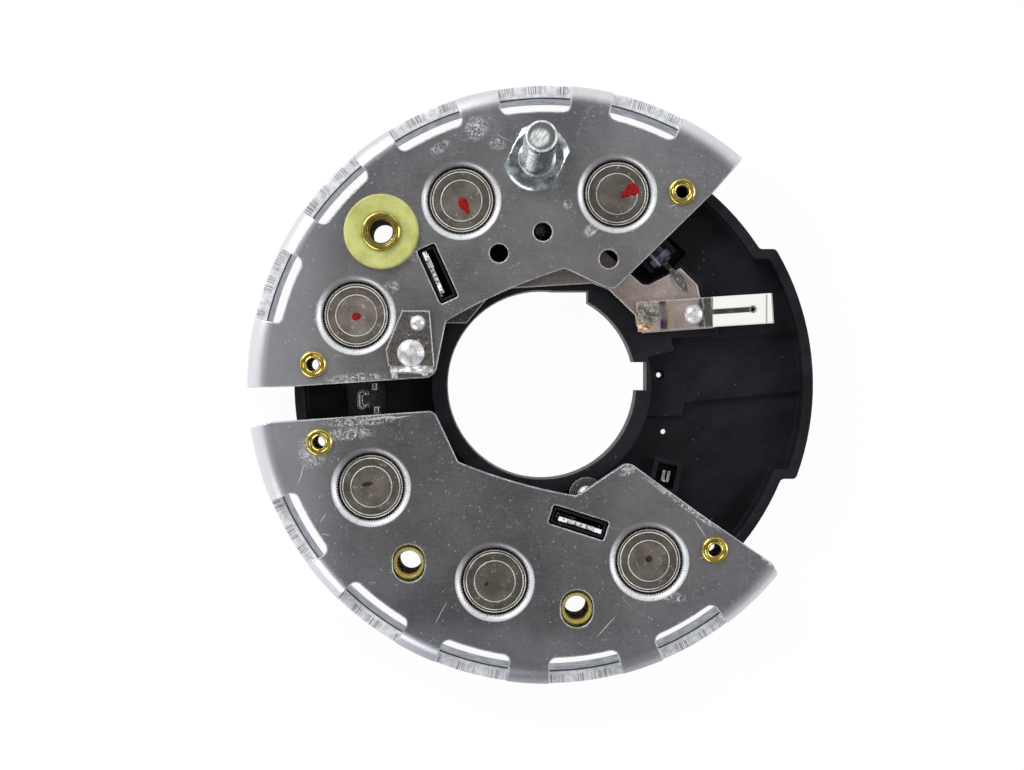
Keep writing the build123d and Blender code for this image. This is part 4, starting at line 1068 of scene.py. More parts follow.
# Painted shade: the retaining washer, lying under a heat sink, takes dark colours.
SHADED_WASHER_STEEL = Plated(
    "shaded_washer_steel", dark=shade(70, 70, 68), light=shade(104, 102, 98), roughness=0.4, metal=0.6
)
# Painted shade: the left phase strip takes darker colours than the other phase strips, with its edges painted
# bright as highlights.
SHADED_STRIP = Plated(
    "shaded_strip", dark=shade(66, 67, 70), light=shade(96, 97, 101), roughness=0.34, metal=0.3,
    edge=0.0004, edge_gain=9.0, cloud_scale=900.0,
)
TIN_WIRE = Plated(
    "bright_tin_wire", dark=shade(92, 88, 82), light=shade(134, 130, 122), metal=0.6, edge=0.0003,
    edge_gain=5.0,
)
TIN_STRIP = TornBlade(
    "worn_tin_strip", dark=shade(132, 124, 119), light=shade(172, 164, 158), roughness=0.34, metal=0.6,
    cloud_scale=160.0,
)
SOLDER = Plated(
    "solder", dark=shade(160, 160, 158), light=shade(206, 206, 204), roughness=0.32, cloud_scale=700.0
)
HEATED_STRIP = HeatedStrip("heated_strip")
HEATED_CONTACT = HeatedStrip("heated_contact", free_end=True)
GROOVE = Plated(
    "groove_floor", dark=shade(74, 70, 54), light=shade(108, 103, 84), roughness=0.4, metal=0.5
)
WELD = Plated(
    "weld_face", dark=shade(98, 94, 86), light=shade(176, 170, 160), roughness=0.34, metal=0.5,
    edge=0.00012, cloud_scale=900.0, nick_cover=0.45,
)
RED_PAINT = Brush("red_paint", dark=shade(98, 8, 8), light=shade(160, 14, 12), roughness=0.55)
BLACK_INK = Brush("black_ink", dark=shade(26, 24, 24), light=shade(48, 45, 43), roughness=0.5)


class Bench:
    """Edit-mode steps that the new pieces share."""

    @staticmethod
    def clear() -> None:
        """Leaves edit mode and deselects everything."""
        if bpy.context.object and bpy.context.object.mode != "OBJECT":
            bpy.ops.object.mode_set(mode="OBJECT")
        bpy.ops.object.select_all(action="DESELECT")

    @staticmethod
    def hold(*pieces: Piece) -> None:
        """Selects pieces alone and makes the first one active."""
        Bench.clear()
        for piece in pieces:
            piece.select_set(True)
        bpy.context.view_layer.objects.active = pieces[0]

    @staticmethod
    def join(*pieces: Piece) -> Piece:
        """Joins pieces into the first one."""
        Bench.hold(*pieces)
        bpy.ops.object.join()
        return pieces[0]

    @staticmethod
    def disc(sides: int, radius: float, place: Sequence[float], **settings: object) -> Piece:
        """Adds a filled circle, with its radius in millimetres and its place in metres."""
        Bench.clear()
        bpy.ops.mesh.primitive_circle_add(
            vertices=sides, radius=radius * MM, fill_type="NGON", location=place, **settings
        )
        return bpy.context.object

    @staticmethod
    def everything() -> None:
        """Selects the whole mesh that is being edited."""
        bpy.ops.mesh.select_all(action="SELECT")

    @staticmethod
    def outward() -> None:
        """Selects the whole mesh and turns its normals outwards."""
        Bench.everything()
        bpy.ops.mesh.normals_make_consistent(inside=False)

    @staticmethod
    def push(move: Sequence[float]) -> None:
        """Extrudes what is selected by a move in metres."""
        bpy.ops.mesh.extrude_region_move(TRANSFORM_OT_translate={"value": move})

    @staticmethod
    def inset(width: float, depth: float) -> None:
        """Insets the selected faces by a width and a depth in metres."""
        bpy.ops.mesh.inset(thickness=width, depth=depth)

    @staticmethod
    def rotate(turn: float, centre: Sequence[float], axis: str = "Z") -> None:
        """Turns what is selected by an angle in radians."""
        bpy.ops.transform.rotate(value=turn, orient_axis=axis, center_override=centre)

    @staticmethod
    def resize(factors: Point, centre: Sequence[float]) -> None:
        """Scales what is selected from a centre."""
        bpy.ops.transform.resize(value=factors, center_override=centre)

    @staticmethod
    @contextmanager
    def editing(piece: Piece) -> Iterator[None]:
        """Edits one piece's mesh.

        Args:
            piece: The piece.
        """
        Bench.hold(piece)
        bpy.ops.object.mode_set(mode="EDIT")
        yield
        bpy.ops.object.mode_set(mode="OBJECT")

    @staticmethod
    def pick(piece: Piece, kind: str, wanted: Callable[[object], bool]) -> int:
        """Selects parts of the mesh in edit mode by their place or normal.

        Args:
            piece: The piece in edit mode.
            kind: VERT, EDGE or FACE.
            wanted: Says whether a part is selected.

        Returns:
            How many are selected.
        """
        bpy.ops.mesh.select_mode(type=kind)
        bpy.ops.mesh.select_all(action="DESELECT")
        mesh = bmesh.from_edit_mesh(piece.data)
        parts = {"VERT": mesh.verts, "EDGE": mesh.edges, "FACE": mesh.faces}[kind]
        count = 0
        for part in parts:
            if wanted(part):
                part.select_set(True)
                count += 1
        mesh.select_flush_mode()
        bmesh.update_edit_mesh(piece.data)
        return count

    @staticmethod
    def finish(piece: Piece, name: str, smooth: float = 35.0) -> Piece:
        """Applies a piece's place, names it and smooths its shading.

        Args:
            piece: The piece.
            name: Its name.
            smooth: Edges that turn by less than this many degrees are shaded smooth.

        Returns:
            The piece.
        """
        Bench.hold(piece)
        bpy.ops.object.transform_apply(location=True, rotation=True, scale=True)
        bpy.ops.object.shade_smooth_by_angle(angle=math.radians(smooth))
        piece.name = name
        piece.data.name = name
        return piece

    @staticmethod
    def apply(piece: Piece, kind: str, **settings: object) -> None:
        """Adds a modifier and applies it at once.

        Args:
            piece: The piece.
            kind: Modifier type.
            settings: Its properties.
        """
        Bench.hold(piece)
        modifier = piece.modifiers.new(kind.lower(), kind)
        for name, value in settings.items():
            setattr(modifier, name, value)
        bpy.ops.object.modifier_apply(modifier=modifier.name)

    @staticmethod
    def turned(axis: Flat, profile: Sequence[Flat], steps: int) -> Piece:
        """Turns a profile about a vertical axis.

        Args:
            axis: Place of the axis from the ring's centre, in millimetres.
            profile: Radius and height of each point, in millimetres.
            steps: Number of sides.

        Returns:
            The turned piece, still named as the primitive.
        """
        Bench.clear()
        first = profile[0]
        start = at(axis[0] + first[0], axis[1], first[1])
        bpy.ops.mesh.primitive_plane_add(size=0.1 * MM, location=start)
        piece = bpy.context.object
        with Bench.editing(piece):
            Bench.everything()
            bpy.ops.mesh.merge(type="CENTER")
            for (radius, height), (next_radius, next_height) in zip(profile, profile[1:]):
                move = ((next_radius - radius) * MM, 0, (next_height - height) * MM)
                Bench.push(move)
            Bench.everything()
            bpy.ops.mesh.spin(steps=steps, angle=2 * math.pi, center=at(*axis, 0), axis=(0, 0, 1))
            Bench.everything()
            bpy.ops.mesh.remove_doubles(threshold=0.002 * MM)
            bpy.ops.mesh.normals_make_consistent(inside=False)
        return piece

    @staticmethod
    def copy(piece: Piece, name: str, move: Vector) -> Piece:
        """Copies a finished piece to another place, with a mesh of its own.

        Args:
            piece: The finished piece.
            name: Name of the copy.
            move: How far it lies from the first.

        Returns:
            The copy.
        """
        Bench.hold(piece)
        bpy.ops.object.duplicate()
        twin = bpy.context.object
        twin.location = move
        return Bench.finish(twin, name)


class Crew:
    """Hands each finished piece its finish and body, and reports it."""

    made: list[str] = []

    @classmethod
    def hand_in(cls, piece: Piece, finish: Finish, slot: str, replaces: Sequence[str] = ()) -> None:
        """Dresses a new piece and makes it ride on the part.

        Args:
            piece: The piece.
            finish: Its finish.
            slot: The record's material slot; not used.
            replaces: CAD nodes that it stands for.
        """
        piece.data.materials.clear()
        piece.data.materials.append(finish.material())
        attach(piece, ROOT)
        if replaces:
            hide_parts(*replaces)
        cls.made.append(piece.name)
        log.info("made %s with %d faces", piece.name, len(piece.data.polygons))

    @staticmethod
    def dress(node: str, finish: Finish) -> None:
        """Gives a CAD node its finish.

        Args:
            node: Name of the node.
            finish: Its finish.
        """
        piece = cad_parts[node]
        material = finish.material()
        if not piece.material_slots:
            piece.data.materials.append(material)
        for holder in piece.material_slots:
            holder.material = material
        log.info("dressed %s in %s", node, finish.name)


@dataclass
class BatteryStud:
    """Stud with a flange that has two flats, a plain shoulder and a rolled thread."""

    circle: float = 43.2
    angle: float = 92.75
    base: float = 14.0
    flange: float = 2.6
    flange_radius: float = 6.4
    flats: float = 10.0
    flats_angle: float = 64.0
    shoulder_radius: float = 3.45
    shoulder_top: float = 18.2
    root: float = 2.5
    crest: float = 2.99
    pitch: float = 1.0
    tip: float = 53.0
    tip_steps: tuple[Flat, ...] = (
        (2.5, 1.9), (2.72, 1.5), (2.78, 0.8), (2.7, 0.45), (2.5, 0.2), (2.2, 0.14), (1.9, 0.18), (1.7, 0.1),
        (1.2, 0.02), (0.0, 0.0),
    )
    neck: float = 3.0
    stake_radius: float = 3.45
    stake_bottom: float = 10.3
    sheet_bottom: float = 11.5

    def axis(self) -> Flat:
        """Place of the stud from the ring's centre."""
        turn = math.radians(self.angle)
        return (self.circle * math.cos(turn), self.circle * math.sin(turn))

    def head(self) -> Piece:
        """Flange with its upper edge turned off and two flats sawn down its sides."""
        top = self.base + self.flange
        wide = self.flange_radius
        piece = Bench.turned(
            self.axis(),
            [
                (0.0, self.base), (wide - 0.15, self.base), (wide, self.base + 0.15), (wide, top - 0.65),
                (wide - 0.25, top - 0.45), (self.flats / 2 + 0.1, top - 0.04), (self.flats / 2 - 0.2, top),
                (0.0, top),
            ],
            96,
        )
        turn = math.radians(self.flats_angle + 90)
        for side in (-1, 1):
            way = Vector((math.cos(turn), math.sin(turn), 0)) * side
            edge = Vector(at(*self.axis(), self.base)) + way * self.flats / 2 * MM
            with Bench.editing(piece):
                Bench.everything()
                bpy.ops.mesh.bisect(plane_co=edge, plane_no=way, use_fill=True, clear_outer=True)
        sharp = math.radians(40)
        Bench.apply(
            piece, "BEVEL", width=0.14 * MM, segments=2, limit_method="ANGLE", angle_limit=sharp
        )
        return piece

    def shank(self) -> Piece:
        """Stake under the sheet, shoulder and the thread's core."""
        stake, low, top = self.stake_radius, self.stake_bottom, self.shoulder_top
        profile = [
            (0.0, low), (stake - 0.6, low), (stake - 0.1, low + 0.4), (stake, self.sheet_bottom),
            (self.neck, self.sheet_bottom), (self.neck, self.base + 0.3),
            (self.shoulder_radius, self.base + self.flange - 0.3), (self.shoulder_radius, top - 0.45),
            (self.shoulder_radius - 0.15, top - 0.15), (self.root, top + 0.1),
            *[(radius, self.tip - down) for radius, down in self.tip_steps],
        ]
        return Bench.turned(self.axis(), profile, 64)

    def thread(self) -> Piece:
        """Closed ridge wound up the core, turned down to the core's cone at the tip."""
        Bench.clear()
        foot = self.shoulder_top - 0.5 * self.pitch
        bpy.ops.mesh.primitive_plane_add(size=1.0 * MM, location=at(*self.axis(), foot))
        piece = bpy.context.object
        with Bench.editing(piece):
            Bench.everything()
            Bench.rotate(math.pi / 2, at(*self.axis(), foot), "X")
            bpy.ops.mesh.delete(type="ONLY_FACE")
            mesh = bmesh.from_edit_mesh(piece.data)
            for vertex in mesh.verts:
                outer = vertex.co.x > 0
                half = 0.07 if outer else 0.44
                vertex.co.x = (self.crest if outer else self.root - 0.04) * MM
                vertex.co.z = math.copysign(half * self.pitch * MM, vertex.co.z)
                vertex.co.y = 0.0
            bmesh.update_edit_mesh(piece.data)
        turns = int((self.tip - 1.6 - foot) / self.pitch)
        Bench.apply(
            piece, "SCREW", axis="Z", angle=2 * math.pi, screw_offset=self.pitch * MM, iterations=turns,
            steps=32, render_steps=32, use_merge_vertices=False,
        )
        with Bench.editing(piece):
            Bench.pick(piece, "VERT", lambda v: v.co.z > (self.tip - 3.0 - foot) * MM)
            mesh = bmesh.from_edit_mesh(piece.data)
            for vertex in mesh.verts:
                room = self.root + max(0.0, self.tip - 1.8 - foot - vertex.co.z / MM) * 0.6
                reach = math.hypot(vertex.co.x, vertex.co.y) / MM
                if vertex.select and reach > room:
                    vertex.co.x *= (room - 0.05) / reach
                    vertex.co.y *= (room - 0.05) / reach
            bmesh.update_edit_mesh(piece.data)
            bpy.ops.mesh.select_mode(type="EDGE")
            bpy.ops.mesh.select_all(action="DESELECT")
            bpy.ops.mesh.select_non_manifold()
            bpy.ops.mesh.edge_face_add()
            Bench.outward()
        return piece

    def build(self) -> None:
        """Joins the stud's forms into one piece and hands it in."""
        whole = Bench.join(self.head(), self.shank(), self.thread())
        piece = Bench.finish(whole, "threaded_stud", 30.0)
        Crew.hand_in(piece, ZINC, "zinc_steel", ["battery_stud"])


@dataclass
class SealedDiodes:
    """Press-fit diode cups with turned rings on their face and a straight knurl round their side."""

    radius: float = 6.4
    face: float = 13.0
    bottom: float = 5.0
    wall: float = 0.9
    ceiling: float = 10.0
    teeth: int = 96
    tooth: float = 0.3
    tones: tuple[float, ...] = (0.8, 0.98, 1.12, 0.86, 0.72, 0.86)
    face_steps: tuple[Flat, ...] = (
        (0.36, 0.28), (0.09, 0.0), (0.1, -0.14), (0.26, 0.0), (0.13, 0.14), (1.37, 0.0),
        (0.09, -0.11), (0.05, 0.0), (0.09, 0.11), (1.5, -0.015), (1.2, -0.01),
    )

    def cup(self) -> Piece:
        """First cup, at the first positive place: rings by insets, then the hollow below and the knurl."""
        place = Vector(polar(DIODE_CIRCLE, DIODE_ANGLES[0], self.bottom))
        piece = Bench.disc(2 * self.teeth, self.radius, place)
        rise = (self.face - 0.38 - self.bottom) * MM
        with Bench.editing(piece):
            Bench.everything()
            Bench.push((0, 0, rise))
            Bench.pick(piece, "FACE", lambda f: f.calc_center_median().z > 0.9 * rise)
            for width, depth in self.face_steps:
                Bench.inset(width * MM, depth * MM)
            bpy.ops.mesh.normals_make_consistent(inside=False)
            Bench.pick(piece, "FACE", lambda f: len(f.verts) > 4 and f.calc_center_median().z < 0.1 * rise)
            Bench.inset(self.wall * MM, 0.0)
            hollow = (self.ceiling - self.bottom) * MM
            Bench.push((0, 0, hollow))
            Bench.outward()
            step = math.pi / self.teeth

            def valley(vertex: bmesh.types.BMVert) -> bool:
                """Says whether a vertex of the side lies between two teeth."""
                place_on = round(math.atan2(vertex.co.y, vertex.co.x) / step)
                on_rim = math.hypot(vertex.co.x, vertex.co.y) > (self.radius - 0.02) * MM
                return on_rim and place_on % 2 == 0

            Bench.pick(piece, "VERT", valley)
            shrink = 1.0 - self.tooth / self.radius
            Bench.resize((shrink, shrink, 1), place)
        return Bench.finish(piece, "turned_cup_1", 24.0)

    def build(self) -> None:
        """Makes the first cup, copies it to the other places and hands all in."""
        first = self.cup()
        start = Vector(polar(DIODE_CIRCLE, DIODE_ANGLES[0], 0))
        tones = iter(self.tones)
        for side, angles in (("positive", POSITIVE_ANGLES), ("negative", NEGATIVE_ANGLES)):
            for number, angle in enumerate(angles, start=1):
                here = Vector(polar(DIODE_CIRCLE, angle, 0))
                piece = Bench.copy(first, f"{side}_cup_{number}", here - start)
                tone = next(tones)
                finish = TurnedMetal(
                    f"{side}_cup_finish_{number}",
                    middle=tuple(here),
                    dark=toned(TurnedMetal.dark, tone),
                    light=toned(TurnedMetal.light, tone),
                )
                Crew.hand_in(piece, finish, "diode_cup", [f"{side}_diode_{number}"])
        bpy.data.objects.remove(first)


@dataclass
class PaintMarks:
    """Dabs of red paint on the positive diodes and of black ink on the negative ones."""

    face: float = 12.90
    thickness: float = 0.05
    corners: int = 28
    ragged: float = 0.06

    def dab(self, name: str, middle: Flat, size: Flat, turn: float, seed: int, taper: float) -> Piece:
        """Makes one dab.

        Args:
            name: Its name.
            middle: Its place from the ring's centre, in millimetres.
            size: Length and width, in millimetres.
            turn: Angle of its length, in degrees.
            seed: Seed of its ragged outline.
            taper: Width of its far end, as a share of the near end's.

        Returns:
            The finished dab.
        """
        place = at(*middle, self.face)
        piece = Bench.disc(self.corners, 0.5, place)
        with Bench.editing(piece):
            Bench.everything()
            Bench.resize((size[0], size[1], 1), place)
            Bench.pick(piece, "VERT", lambda v: v.co.x > 0.1 * size[0] * MM)
            Bench.resize((1, taper, 1), place)
            Bench.everything()
            ragged = self.ragged * min(size) * MM
            bpy.ops.transform.vertex_random(offset=ragged, seed=seed, normal=0.0)
            bpy.ops.mesh.vertices_smooth(factor=0.4)
            Bench.resize((1, 1, 0), place)
            Bench.rotate(-math.radians(turn), place)
            lift = self.thickness * MM
            Bench.push((0, 0, lift))
            Bench.inset(0.12 * min(size) * MM, 0.3 * lift)
            Bench.outward()
        return Bench.finish(piece, name, 50.0)

    def build(self) -> None:
        """Makes the six dabs and hands them in."""
        reds = [
            ((-36.6, 13.1), (1.9, 1.5), 20.0, 3, 0.8),
            ((-15.9, 34.3), (3.6, 2.0), -62.0, 5, 0.62),
            ((15.7, 37.1), (4.0, 1.6), 32.0, 8, 1.8),
        ]
        inks = [
            ((-34.5, -19.0), (2.1, 0.8), 10.0, 11, 0.8),
            ((-11.7, -38.2), (0.9, 0.7), 60.0, 13, 0.9),
            ((19.5, -33.4), (1.3, 1.2), 40.0, 17, 0.9),
        ]
        for number, facts in enumerate(reds, start=1):
            piece = self.dab(f"red_dab_{number}", *facts)
            Crew.hand_in(piece, RED_PAINT, "diode_cup")
        for number, facts in enumerate(inks, start=1):
            piece = self.dab(f"ink_dot_{number}", *facts)
            Crew.hand_in(piece, BLACK_INK, "diode_cup")


@dataclass
class Joints:
    """Solder under the phase strips, and the weld and the pressed groove of the contact."""

    strip_bottom: float = 2.2
    cone: tuple[Flat, ...] = (
        (0.0, 0.3), (1.75, 0.3), (1.75, 0.0), (1.7, -0.06), (1.25, -0.3), (0.95, -0.7), (0.82, -1.15),
        (0.6, -1.36), (0.0, -1.42),
    )
    groove_run: Flat = (14.9, 22.2)
    groove_floor: float = 12.1
    weld_bottom: float = 10.6
    weld_radius: float = 2.25
    weld_steps: tuple[Flat, ...] = ((0.16, 0.07), (0.16, -0.05), *[(0.17, 0.0)] * 10)
    crinkle_radius: float = 1.85
    groove_width: float = 0.78
    bowl_radius: float = 0.69

    def solder(self) -> Piece:
        """Solder cone round the first diode lead, with a hollow flank."""
        turn = math.radians(DIODE_ANGLES[0])
        axis = (DIODE_CIRCLE * math.cos(turn), DIODE_CIRCLE * math.sin(turn))
        profile = [(radius, self.strip_bottom + rise) for radius, rise in self.cone]
        return Bench.finish(Bench.turned(axis, profile, 32), "lead_solder_1", 40.0)

    def weld(self) -> Piece:
        """Round weld on the contact's inner end, crinkled by the electrode."""
        piece = Bench.disc(48, self.weld_radius, at(*WELD_PLACE, self.weld_bottom))
        with Bench.editing(piece):
            Bench.everything()
            Bench.push((0, 0, 0.05 * MM))
            for width, depth in self.weld_steps:
                Bench.inset(width * MM, depth * MM)

            def crinkled(vertex: bmesh.types.BMVert) -> bool:
                """Says whether a vertex lies on the face, inside its rim."""
                within = math.hypot(vertex.co.x, vertex.co.y) < self.crinkle_radius * MM
                return vertex.co.z > 0.04 * MM and within

            Bench.pick(piece, "VERT", crinkled)
            bpy.ops.transform.vertex_random(offset=0.075 * MM, seed=4, normal=1.0, uniform=0.3)
        return Bench.finish(piece, "weld_mark", 80.0)

    def groove(self) -> Piece:
        """Floor of the contact's pressed groove: a straight run with a round end."""
        Bench.clear()
        turn = math.radians(CONTACT_ANGLE)
        start, end = self.groove_run
        near = Vector((math.cos(turn), math.sin(turn), 0))
        base = Vector(at(*CONTACT_FOOT, self.groove_floor))
        run = end - start + 0.5
        middle = base + near * (start - 0.2 + run / 2) * MM
        bpy.ops.mesh.primitive_plane_add(size=1.0 * MM, location=middle)
        straight = bpy.context.object
        with Bench.editing(straight):
            Bench.everything()
            Bench.resize((run, self.groove_width, 1), middle)
            Bench.rotate(-turn, middle)
            Bench.push((0, 0, -0.25 * MM))
            Bench.outward()
        bowl = Bench.disc(36, self.bowl_radius, base + near * end * MM)
        with Bench.editing(bowl):
            Bench.everything()
            Bench.push((0, 0, 0.1 * MM))
            Bench.inset(0.16 * MM, 0.0)
            Bench.inset(0.14 * MM, -0.12 * MM)
            Bench.outward()
        return Bench.finish(Bench.join(straight, bowl), "pressed_groove", 40.0)

    def build(self) -> None:
        """Makes the joints and hands them in."""
        first = self.solder()
        start = Vector(polar(DIODE_CIRCLE, DIODE_ANGLES[0], 0))
        Crew.hand_in(first, SOLDER, "tinned_wire")
        for number, angle in enumerate(DIODE_ANGLES[1:], start=2):
            here = Vector(polar(DIODE_CIRCLE, angle, 0))
            Crew.hand_in(Bench.copy(first, f"lead_solder_{number}", here - start), SOLDER, "tinned_wire")
        Crew.hand_in(self.weld(), WELD, "contact_strip")
        Crew.hand_in(self.groove(), GROOVE, "contact_strip")


@dataclass
class WeldedWires:
    """Round wires of the exciter diodes, whose inner ends the electrode has pressed into leaves."""

    radius: float = 0.5
    height: float = 8.6
    strip_top: float = 10.0
    low_end: float = 1.65
    stub: float = 0.9
    body: float = 6.0
    tips: tuple[Flat, ...] = ((-22.3, 12.2), (-0.98, 21.9), (27.25, 18.1))
    leaf: tuple[tuple[float, float, float, float], ...] = (
        (0.06, 0.0, 1.0, 1.0), (0.13, 0.35, 1.0, 1.0), (0.21, 0.86, 1.02, 0.94), (0.29, 1.03, 1.12, 0.78),
        (0.38, 1.02, 1.5, 0.56), (0.48, 1.0, 2.0, 0.42), (0.6, 0.99, 2.3, 0.37), (0.72, 0.99, 2.25, 0.36),
        (0.84, 0.99, 1.9, 0.36), (0.93, 0.985, 1.3, 0.34), (1.0, 0.98, 0.55, 0.3),
    )

    def ring(self, place: Point) -> Piece:
        """Upright ring of the wire's section, which faces along X."""
        return Bench.disc(20, self.radius, place, rotation=(0, math.pi / 2, 0))

    def inner_run(self, start: Flat, tip: Flat) -> Piece:
        """Run from the diode to the strip, flattened station by station into a leaf.

        Args:
            start: Place of the diode's inner end from the ring's centre, in millimetres.
            tip: Place of the leaf's tip.

        Returns:
            The run, turned to its direction.
        """
        origin = Vector(at(*start, self.height))
        run = math.dist(start, tip)
        climb = self.strip_top + 0.21 - self.height
        piece = self.ring(tuple(origin))
        with Bench.editing(piece):
            Bench.everything()
            before = (0.0, 0.0, 1.0, 1.0)
            for share, rise, wide, thick in self.leaf:
                move = ((share - before[0]) * run * MM, 0, (rise - before[1]) * climb * MM)
                Bench.push(move)
                centre = origin + Vector((share * run * MM, 0, rise * climb * MM))
                Bench.resize((1, wide / before[2], thick / before[3]), centre)
                before = (share, rise, wide, thick)
            Bench.outward()

            def on_leaf(face: bmesh.types.BMFace) -> bool:
                """Says whether a face lies in the middle of the leaf's upper side."""
                middle = face.calc_center_median() + piece.location - origin
                central = 0.42 < middle.x / (run * MM) < 0.94 and abs(middle.y) < 0.85 * MM
                return face.normal.z > 0.8 and central

            Bench.pick(piece, "FACE", on_leaf)
            Bench.inset(0.1 * MM, -0.05 * MM)
            Bench.everything()
            turn = math.atan2(tip[1] - start[1], tip[0] - start[0])
            Bench.rotate(-turn, origin)
        return piece

    def outer_run(self, end: Flat, angle: float) -> Piece:
        """Level stub behind the diode, a bend and the drop to the phase strip.

        Args:
            end: Place of the diode's outer end from the ring's centre, in millimetres.
            angle: Direction in which the diode points inwards, in degrees.

        Returns:
            The run.
        """
        origin = Vector(at(*end, self.height))
        bend = 0.6
        piece = self.ring(tuple(origin))
        with Bench.editing(piece):
            Bench.everything()
            level = (self.stub - bend) * MM
            Bench.push((-level, 0, 0))
            corner = origin + Vector((-level, 0, -bend * MM))
            bpy.ops.mesh.spin(steps=6, angle=math.pi / 2, center=corner, axis=(0, -1, 0))
            drop = self.height - bend - self.low_end
            Bench.push((0, 0, -drop * MM))
            Bench.outward()
            Bench.rotate(-math.radians(angle), origin)
        return piece

    def build(self) -> None:
        """Makes the three pairs of runs and hands them in."""
        for number, ((x, y, angle), tip) in enumerate(zip(EXCITER_PLACES, self.tips), start=1):
            turn = math.radians(angle)
            reach = self.body / 2
            inner = (x + reach * math.cos(turn), y + reach * math.sin(turn))
            outer = (x - reach * math.cos(turn), y - reach * math.sin(turn))
            whole = Bench.join(self.inner_run(inner, tip), self.outer_run(outer, angle))
            piece = Bench.finish(whole, f"welded_wire_{number}", 50.0)
            Crew.hand_in(piece, TIN_WIRE, "tinned_wire", [f"exciter_wires_{number}"])


class Wardrobe:
    """Finish of each CAD node that stays in view."""

    finishes: dict[str, Finish] = {
        "positive_heat_sink": UPPER_SHEET,
        "negative_heat_sink": SHADED_LOWER_SHEET,
        "moulded_plate": PLASTIC,
        "insulating_washer": POLYAMIDE,
        "left_phase_strip": SHADED_STRIP,
        "middle_phase_strip": TIN_STRIP,
        "right_phase_strip": TIN_STRIP,
        "exciter_strip": HEATED_STRIP,
        "contact_blade": HEATED_CONTACT,
        "contact_rivet": RIVET_ZINC,
        "retaining_rivet": RIVET_ZINC,
        "bracket_rivet_1": RIVET_ZINC,
        "bracket_rivet_2": RIVET_ZINC,
        "retaining_washer": SHADED_WASHER_STEEL,
        "link_bracket": DULL_STEEL,
    }
    brass: dict[str, tuple[float, float, float]] = {
        "insulated_bush": (43.2, 137.3, 2.2),
        "fixing_bush_1": (43.2, 232.1, 2.2),
        "fixing_bush_2": (43.2, 277.5, 2.2),
        "eyelet_1": (45.0, 55.1, 1.15),
        "eyelet_2": (45.0, 175.0, 1.15),
        "eyelet_3": (45.0, 194.1, 1.15),
        "eyelet_4": (45.0, 315.4, 1.15),
    }
    # Painted light: lighter, less metallic brass for the fixing bushes, to lift the shade of the deep holes
    # they sit in.
    lit_deep_brass: dict[str, object] = {
        "dark": shade(196, 178, 84),
        "light": shade(236, 222, 132),
        "crease_shade": shade(130, 110, 44),
        "metal": 0.35,
    }

    @classmethod
    def build(cls) -> None:
        """Dresses every CAD node that no new piece replaces."""
        for node, finish in cls.finishes.items():
            Crew.dress(node, finish)
        for node, (circle, angle, bore) in cls.brass.items():
            tones = cls.lit_deep_brass if node.startswith("fixing") else {}
            Crew.dress(node, SpunBrass(f"{node}_brass", middle=polar(circle, angle, 0), bore=bore, **tones))
        for number, (x, y, turn) in enumerate(EXCITER_PLACES, start=1):
            body = BandedBody(f"banded_body_{number}", centre=at(x, y, 0), turn=turn)
            Crew.dress(f"exciter_diode_{number}", body)
            for side in ("positive", "negative"):
                Crew.dress(f"{side}_diode_seal_{number}", RESIN)
                Crew.dress(f"{side}_diode_lead_{number}", TIN_WIRE)


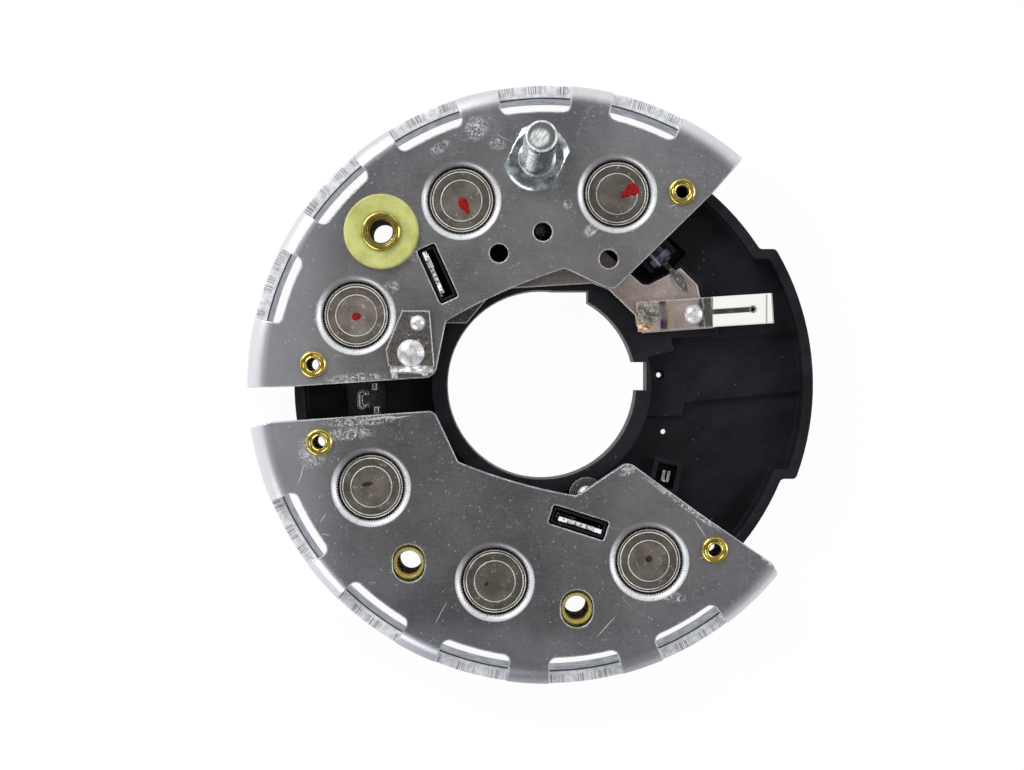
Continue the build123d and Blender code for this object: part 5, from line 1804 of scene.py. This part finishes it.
@dataclass
class Studio:
    """Pale floor, soft light and the camera over the part."""

    camera_place: Point = (-0.0096, 0.0029, 0.404)
    camera_aim: Point = (-0.0058, 0.0, 0.014)
    lens: float = 71.7
    sensor: float = 36.0
    floor_size: float = 6.0
    floor_glow: float = 0.965
    zenith: float = 0.2
    horizon: float = 0.7
    brightest: float = 1.08
    rise_behind: float = 0.38
    fall_right: float = 0.15
    cool: float = 1.012

    def camera(self) -> None:
        """Camera at the photograph's place, looking straight down."""
        data = bpy.data.cameras.new("studio_camera")
        data.lens = self.lens
        data.sensor_width = self.sensor
        data.clip_start = 0.01
        data.clip_end = 20.0
        camera = bpy.data.objects.new("studio_camera", data)
        bpy.context.scene.collection.objects.link(camera)
        back = (Vector(self.camera_place) - Vector(self.camera_aim)).normalized()
        right = Vector((0, 1, 0)).cross(back).normalized()
        up = back.cross(right)
        turn = Matrix((right, up, back)).transposed().to_4x4()
        camera.matrix_world = Matrix.Translation(Vector(self.camera_place)) @ turn
        bpy.context.scene.camera = camera

    def floor(self) -> None:
        """Floor that the camera and mirror-like metal see as white, and that takes a faint shadow."""
        Bench.clear()
        bpy.ops.mesh.primitive_plane_add(size=self.floor_size, location=(0, 0, -0.02 * MM))
        floor = bpy.context.object
        floor.name = "studio_floor"
        material = bpy.data.materials.new("studio_floor")
        material.use_nodes = True
        material.node_tree.nodes.clear()
        desk = Desk(material.node_tree)
        path = desk.add("LightPath")
        seen = desk.plus(path.outputs["Is Camera Ray"], path.outputs["Is Glossy Ray"])
        seen = desk.plus(seen, path.outputs["Is Transmission Ray"], clamp=True)
        matt = desk.add("BsdfDiffuse", {"Color": (0.92, 0.92, 0.92, 1)}).outputs[0]
        white = desk.add("Emission", {"Color": (1, 1, 1, 1), "Strength": 1.0}).outputs[0]
        share = desk.times(seen, self.floor_glow)
        blend = desk.add("MixShader", {0: share, 1: matt, 2: white}).outputs[0]
        desk.add("OutputMaterial", {"Surface": blend})
        floor.data.materials.append(material)

    def world(self) -> None:
        """Sky, dim overhead, brighter near the horizon and behind the part, and white to the camera."""
        world = bpy.data.worlds.new("studio_world")
        bpy.context.scene.world = world
        world.use_nodes = True
        world.node_tree.nodes.clear()
        desk = Desk(world.node_tree)
        right, back, upward = desk.axes(desk.add("TexCoord").outputs["Generated"])
        tilt = desk.less(desk.times(back, self.rise_behind), desk.times(right, self.fall_right))
        low = desk.calc("MINIMUM", desk.plus(tilt, self.horizon), self.brightest)
        up = desk.span(desk.calc("ABSOLUTE", upward), 0.5, 0.94)
        level = desk.plus(desk.times(desk.less(1.0, up), low), desk.times(up, self.zenith))
        dome = desk.add("CombineColor", {0: level, 1: level, 2: desk.times(level, self.cool)})
        seen = desk.add("LightPath").outputs["Is Camera Ray"]
        colour = desk.mix(seen, dome.outputs[0], (1, 1, 1, 1))
        background = desk.add("Background", {"Color": colour, "Strength": 1.0}).outputs[0]
        desk.add("OutputWorld", {"Surface": background})

    def lamp(self, name: str, place: Point, size: Flat, power: float) -> None:
        """Soft box aimed at the part.

        Args:
            name: Its name.
            place: Its place in metres.
            size: Its width and height in metres.
            power: Its power in watts.
        """
        data = bpy.data.lights.new(name, "AREA")
        data.shape = "RECTANGLE"
        data.size, data.size_y = size
        data.energy = power
        lamp = bpy.data.objects.new(name, data)
        lamp.location = place
        lamp.rotation_mode = "QUATERNION"
        lamp.rotation_quaternion = (-Vector(place)).to_track_quat("-Z", "Y")
        bpy.context.scene.collection.objects.link(lamp)

    def build(self) -> None:
        """Sets the stage."""
        bpy.context.scene.view_settings.view_transform = "Standard"
        self.camera()
        self.floor()
        self.world()
        self.lamp("upper_left_box", (-0.7, 0.75, 0.75), (0.7, 0.5), 9.5)
        self.lamp("right_box", (0.95, 0.1, 0.7), (0.5, 0.8), 5.5)
        self.lamp("lower_box", (-0.6, -0.75, 0.6), (0.8, 0.4), 4.5)


def main() -> None:
    """Builds the classes in order."""
    logging.basicConfig(level=logging.INFO, format="%(message)s")
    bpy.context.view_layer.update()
    Studio().build()
    Wardrobe.build()
    BatteryStud().build()
    SealedDiodes().build()
    PaintMarks().build()
    Joints().build()
    WeldedWires().build()
    log.info("%d new pieces", len(Crew.made))


if __name__ == "__main__":
    main()
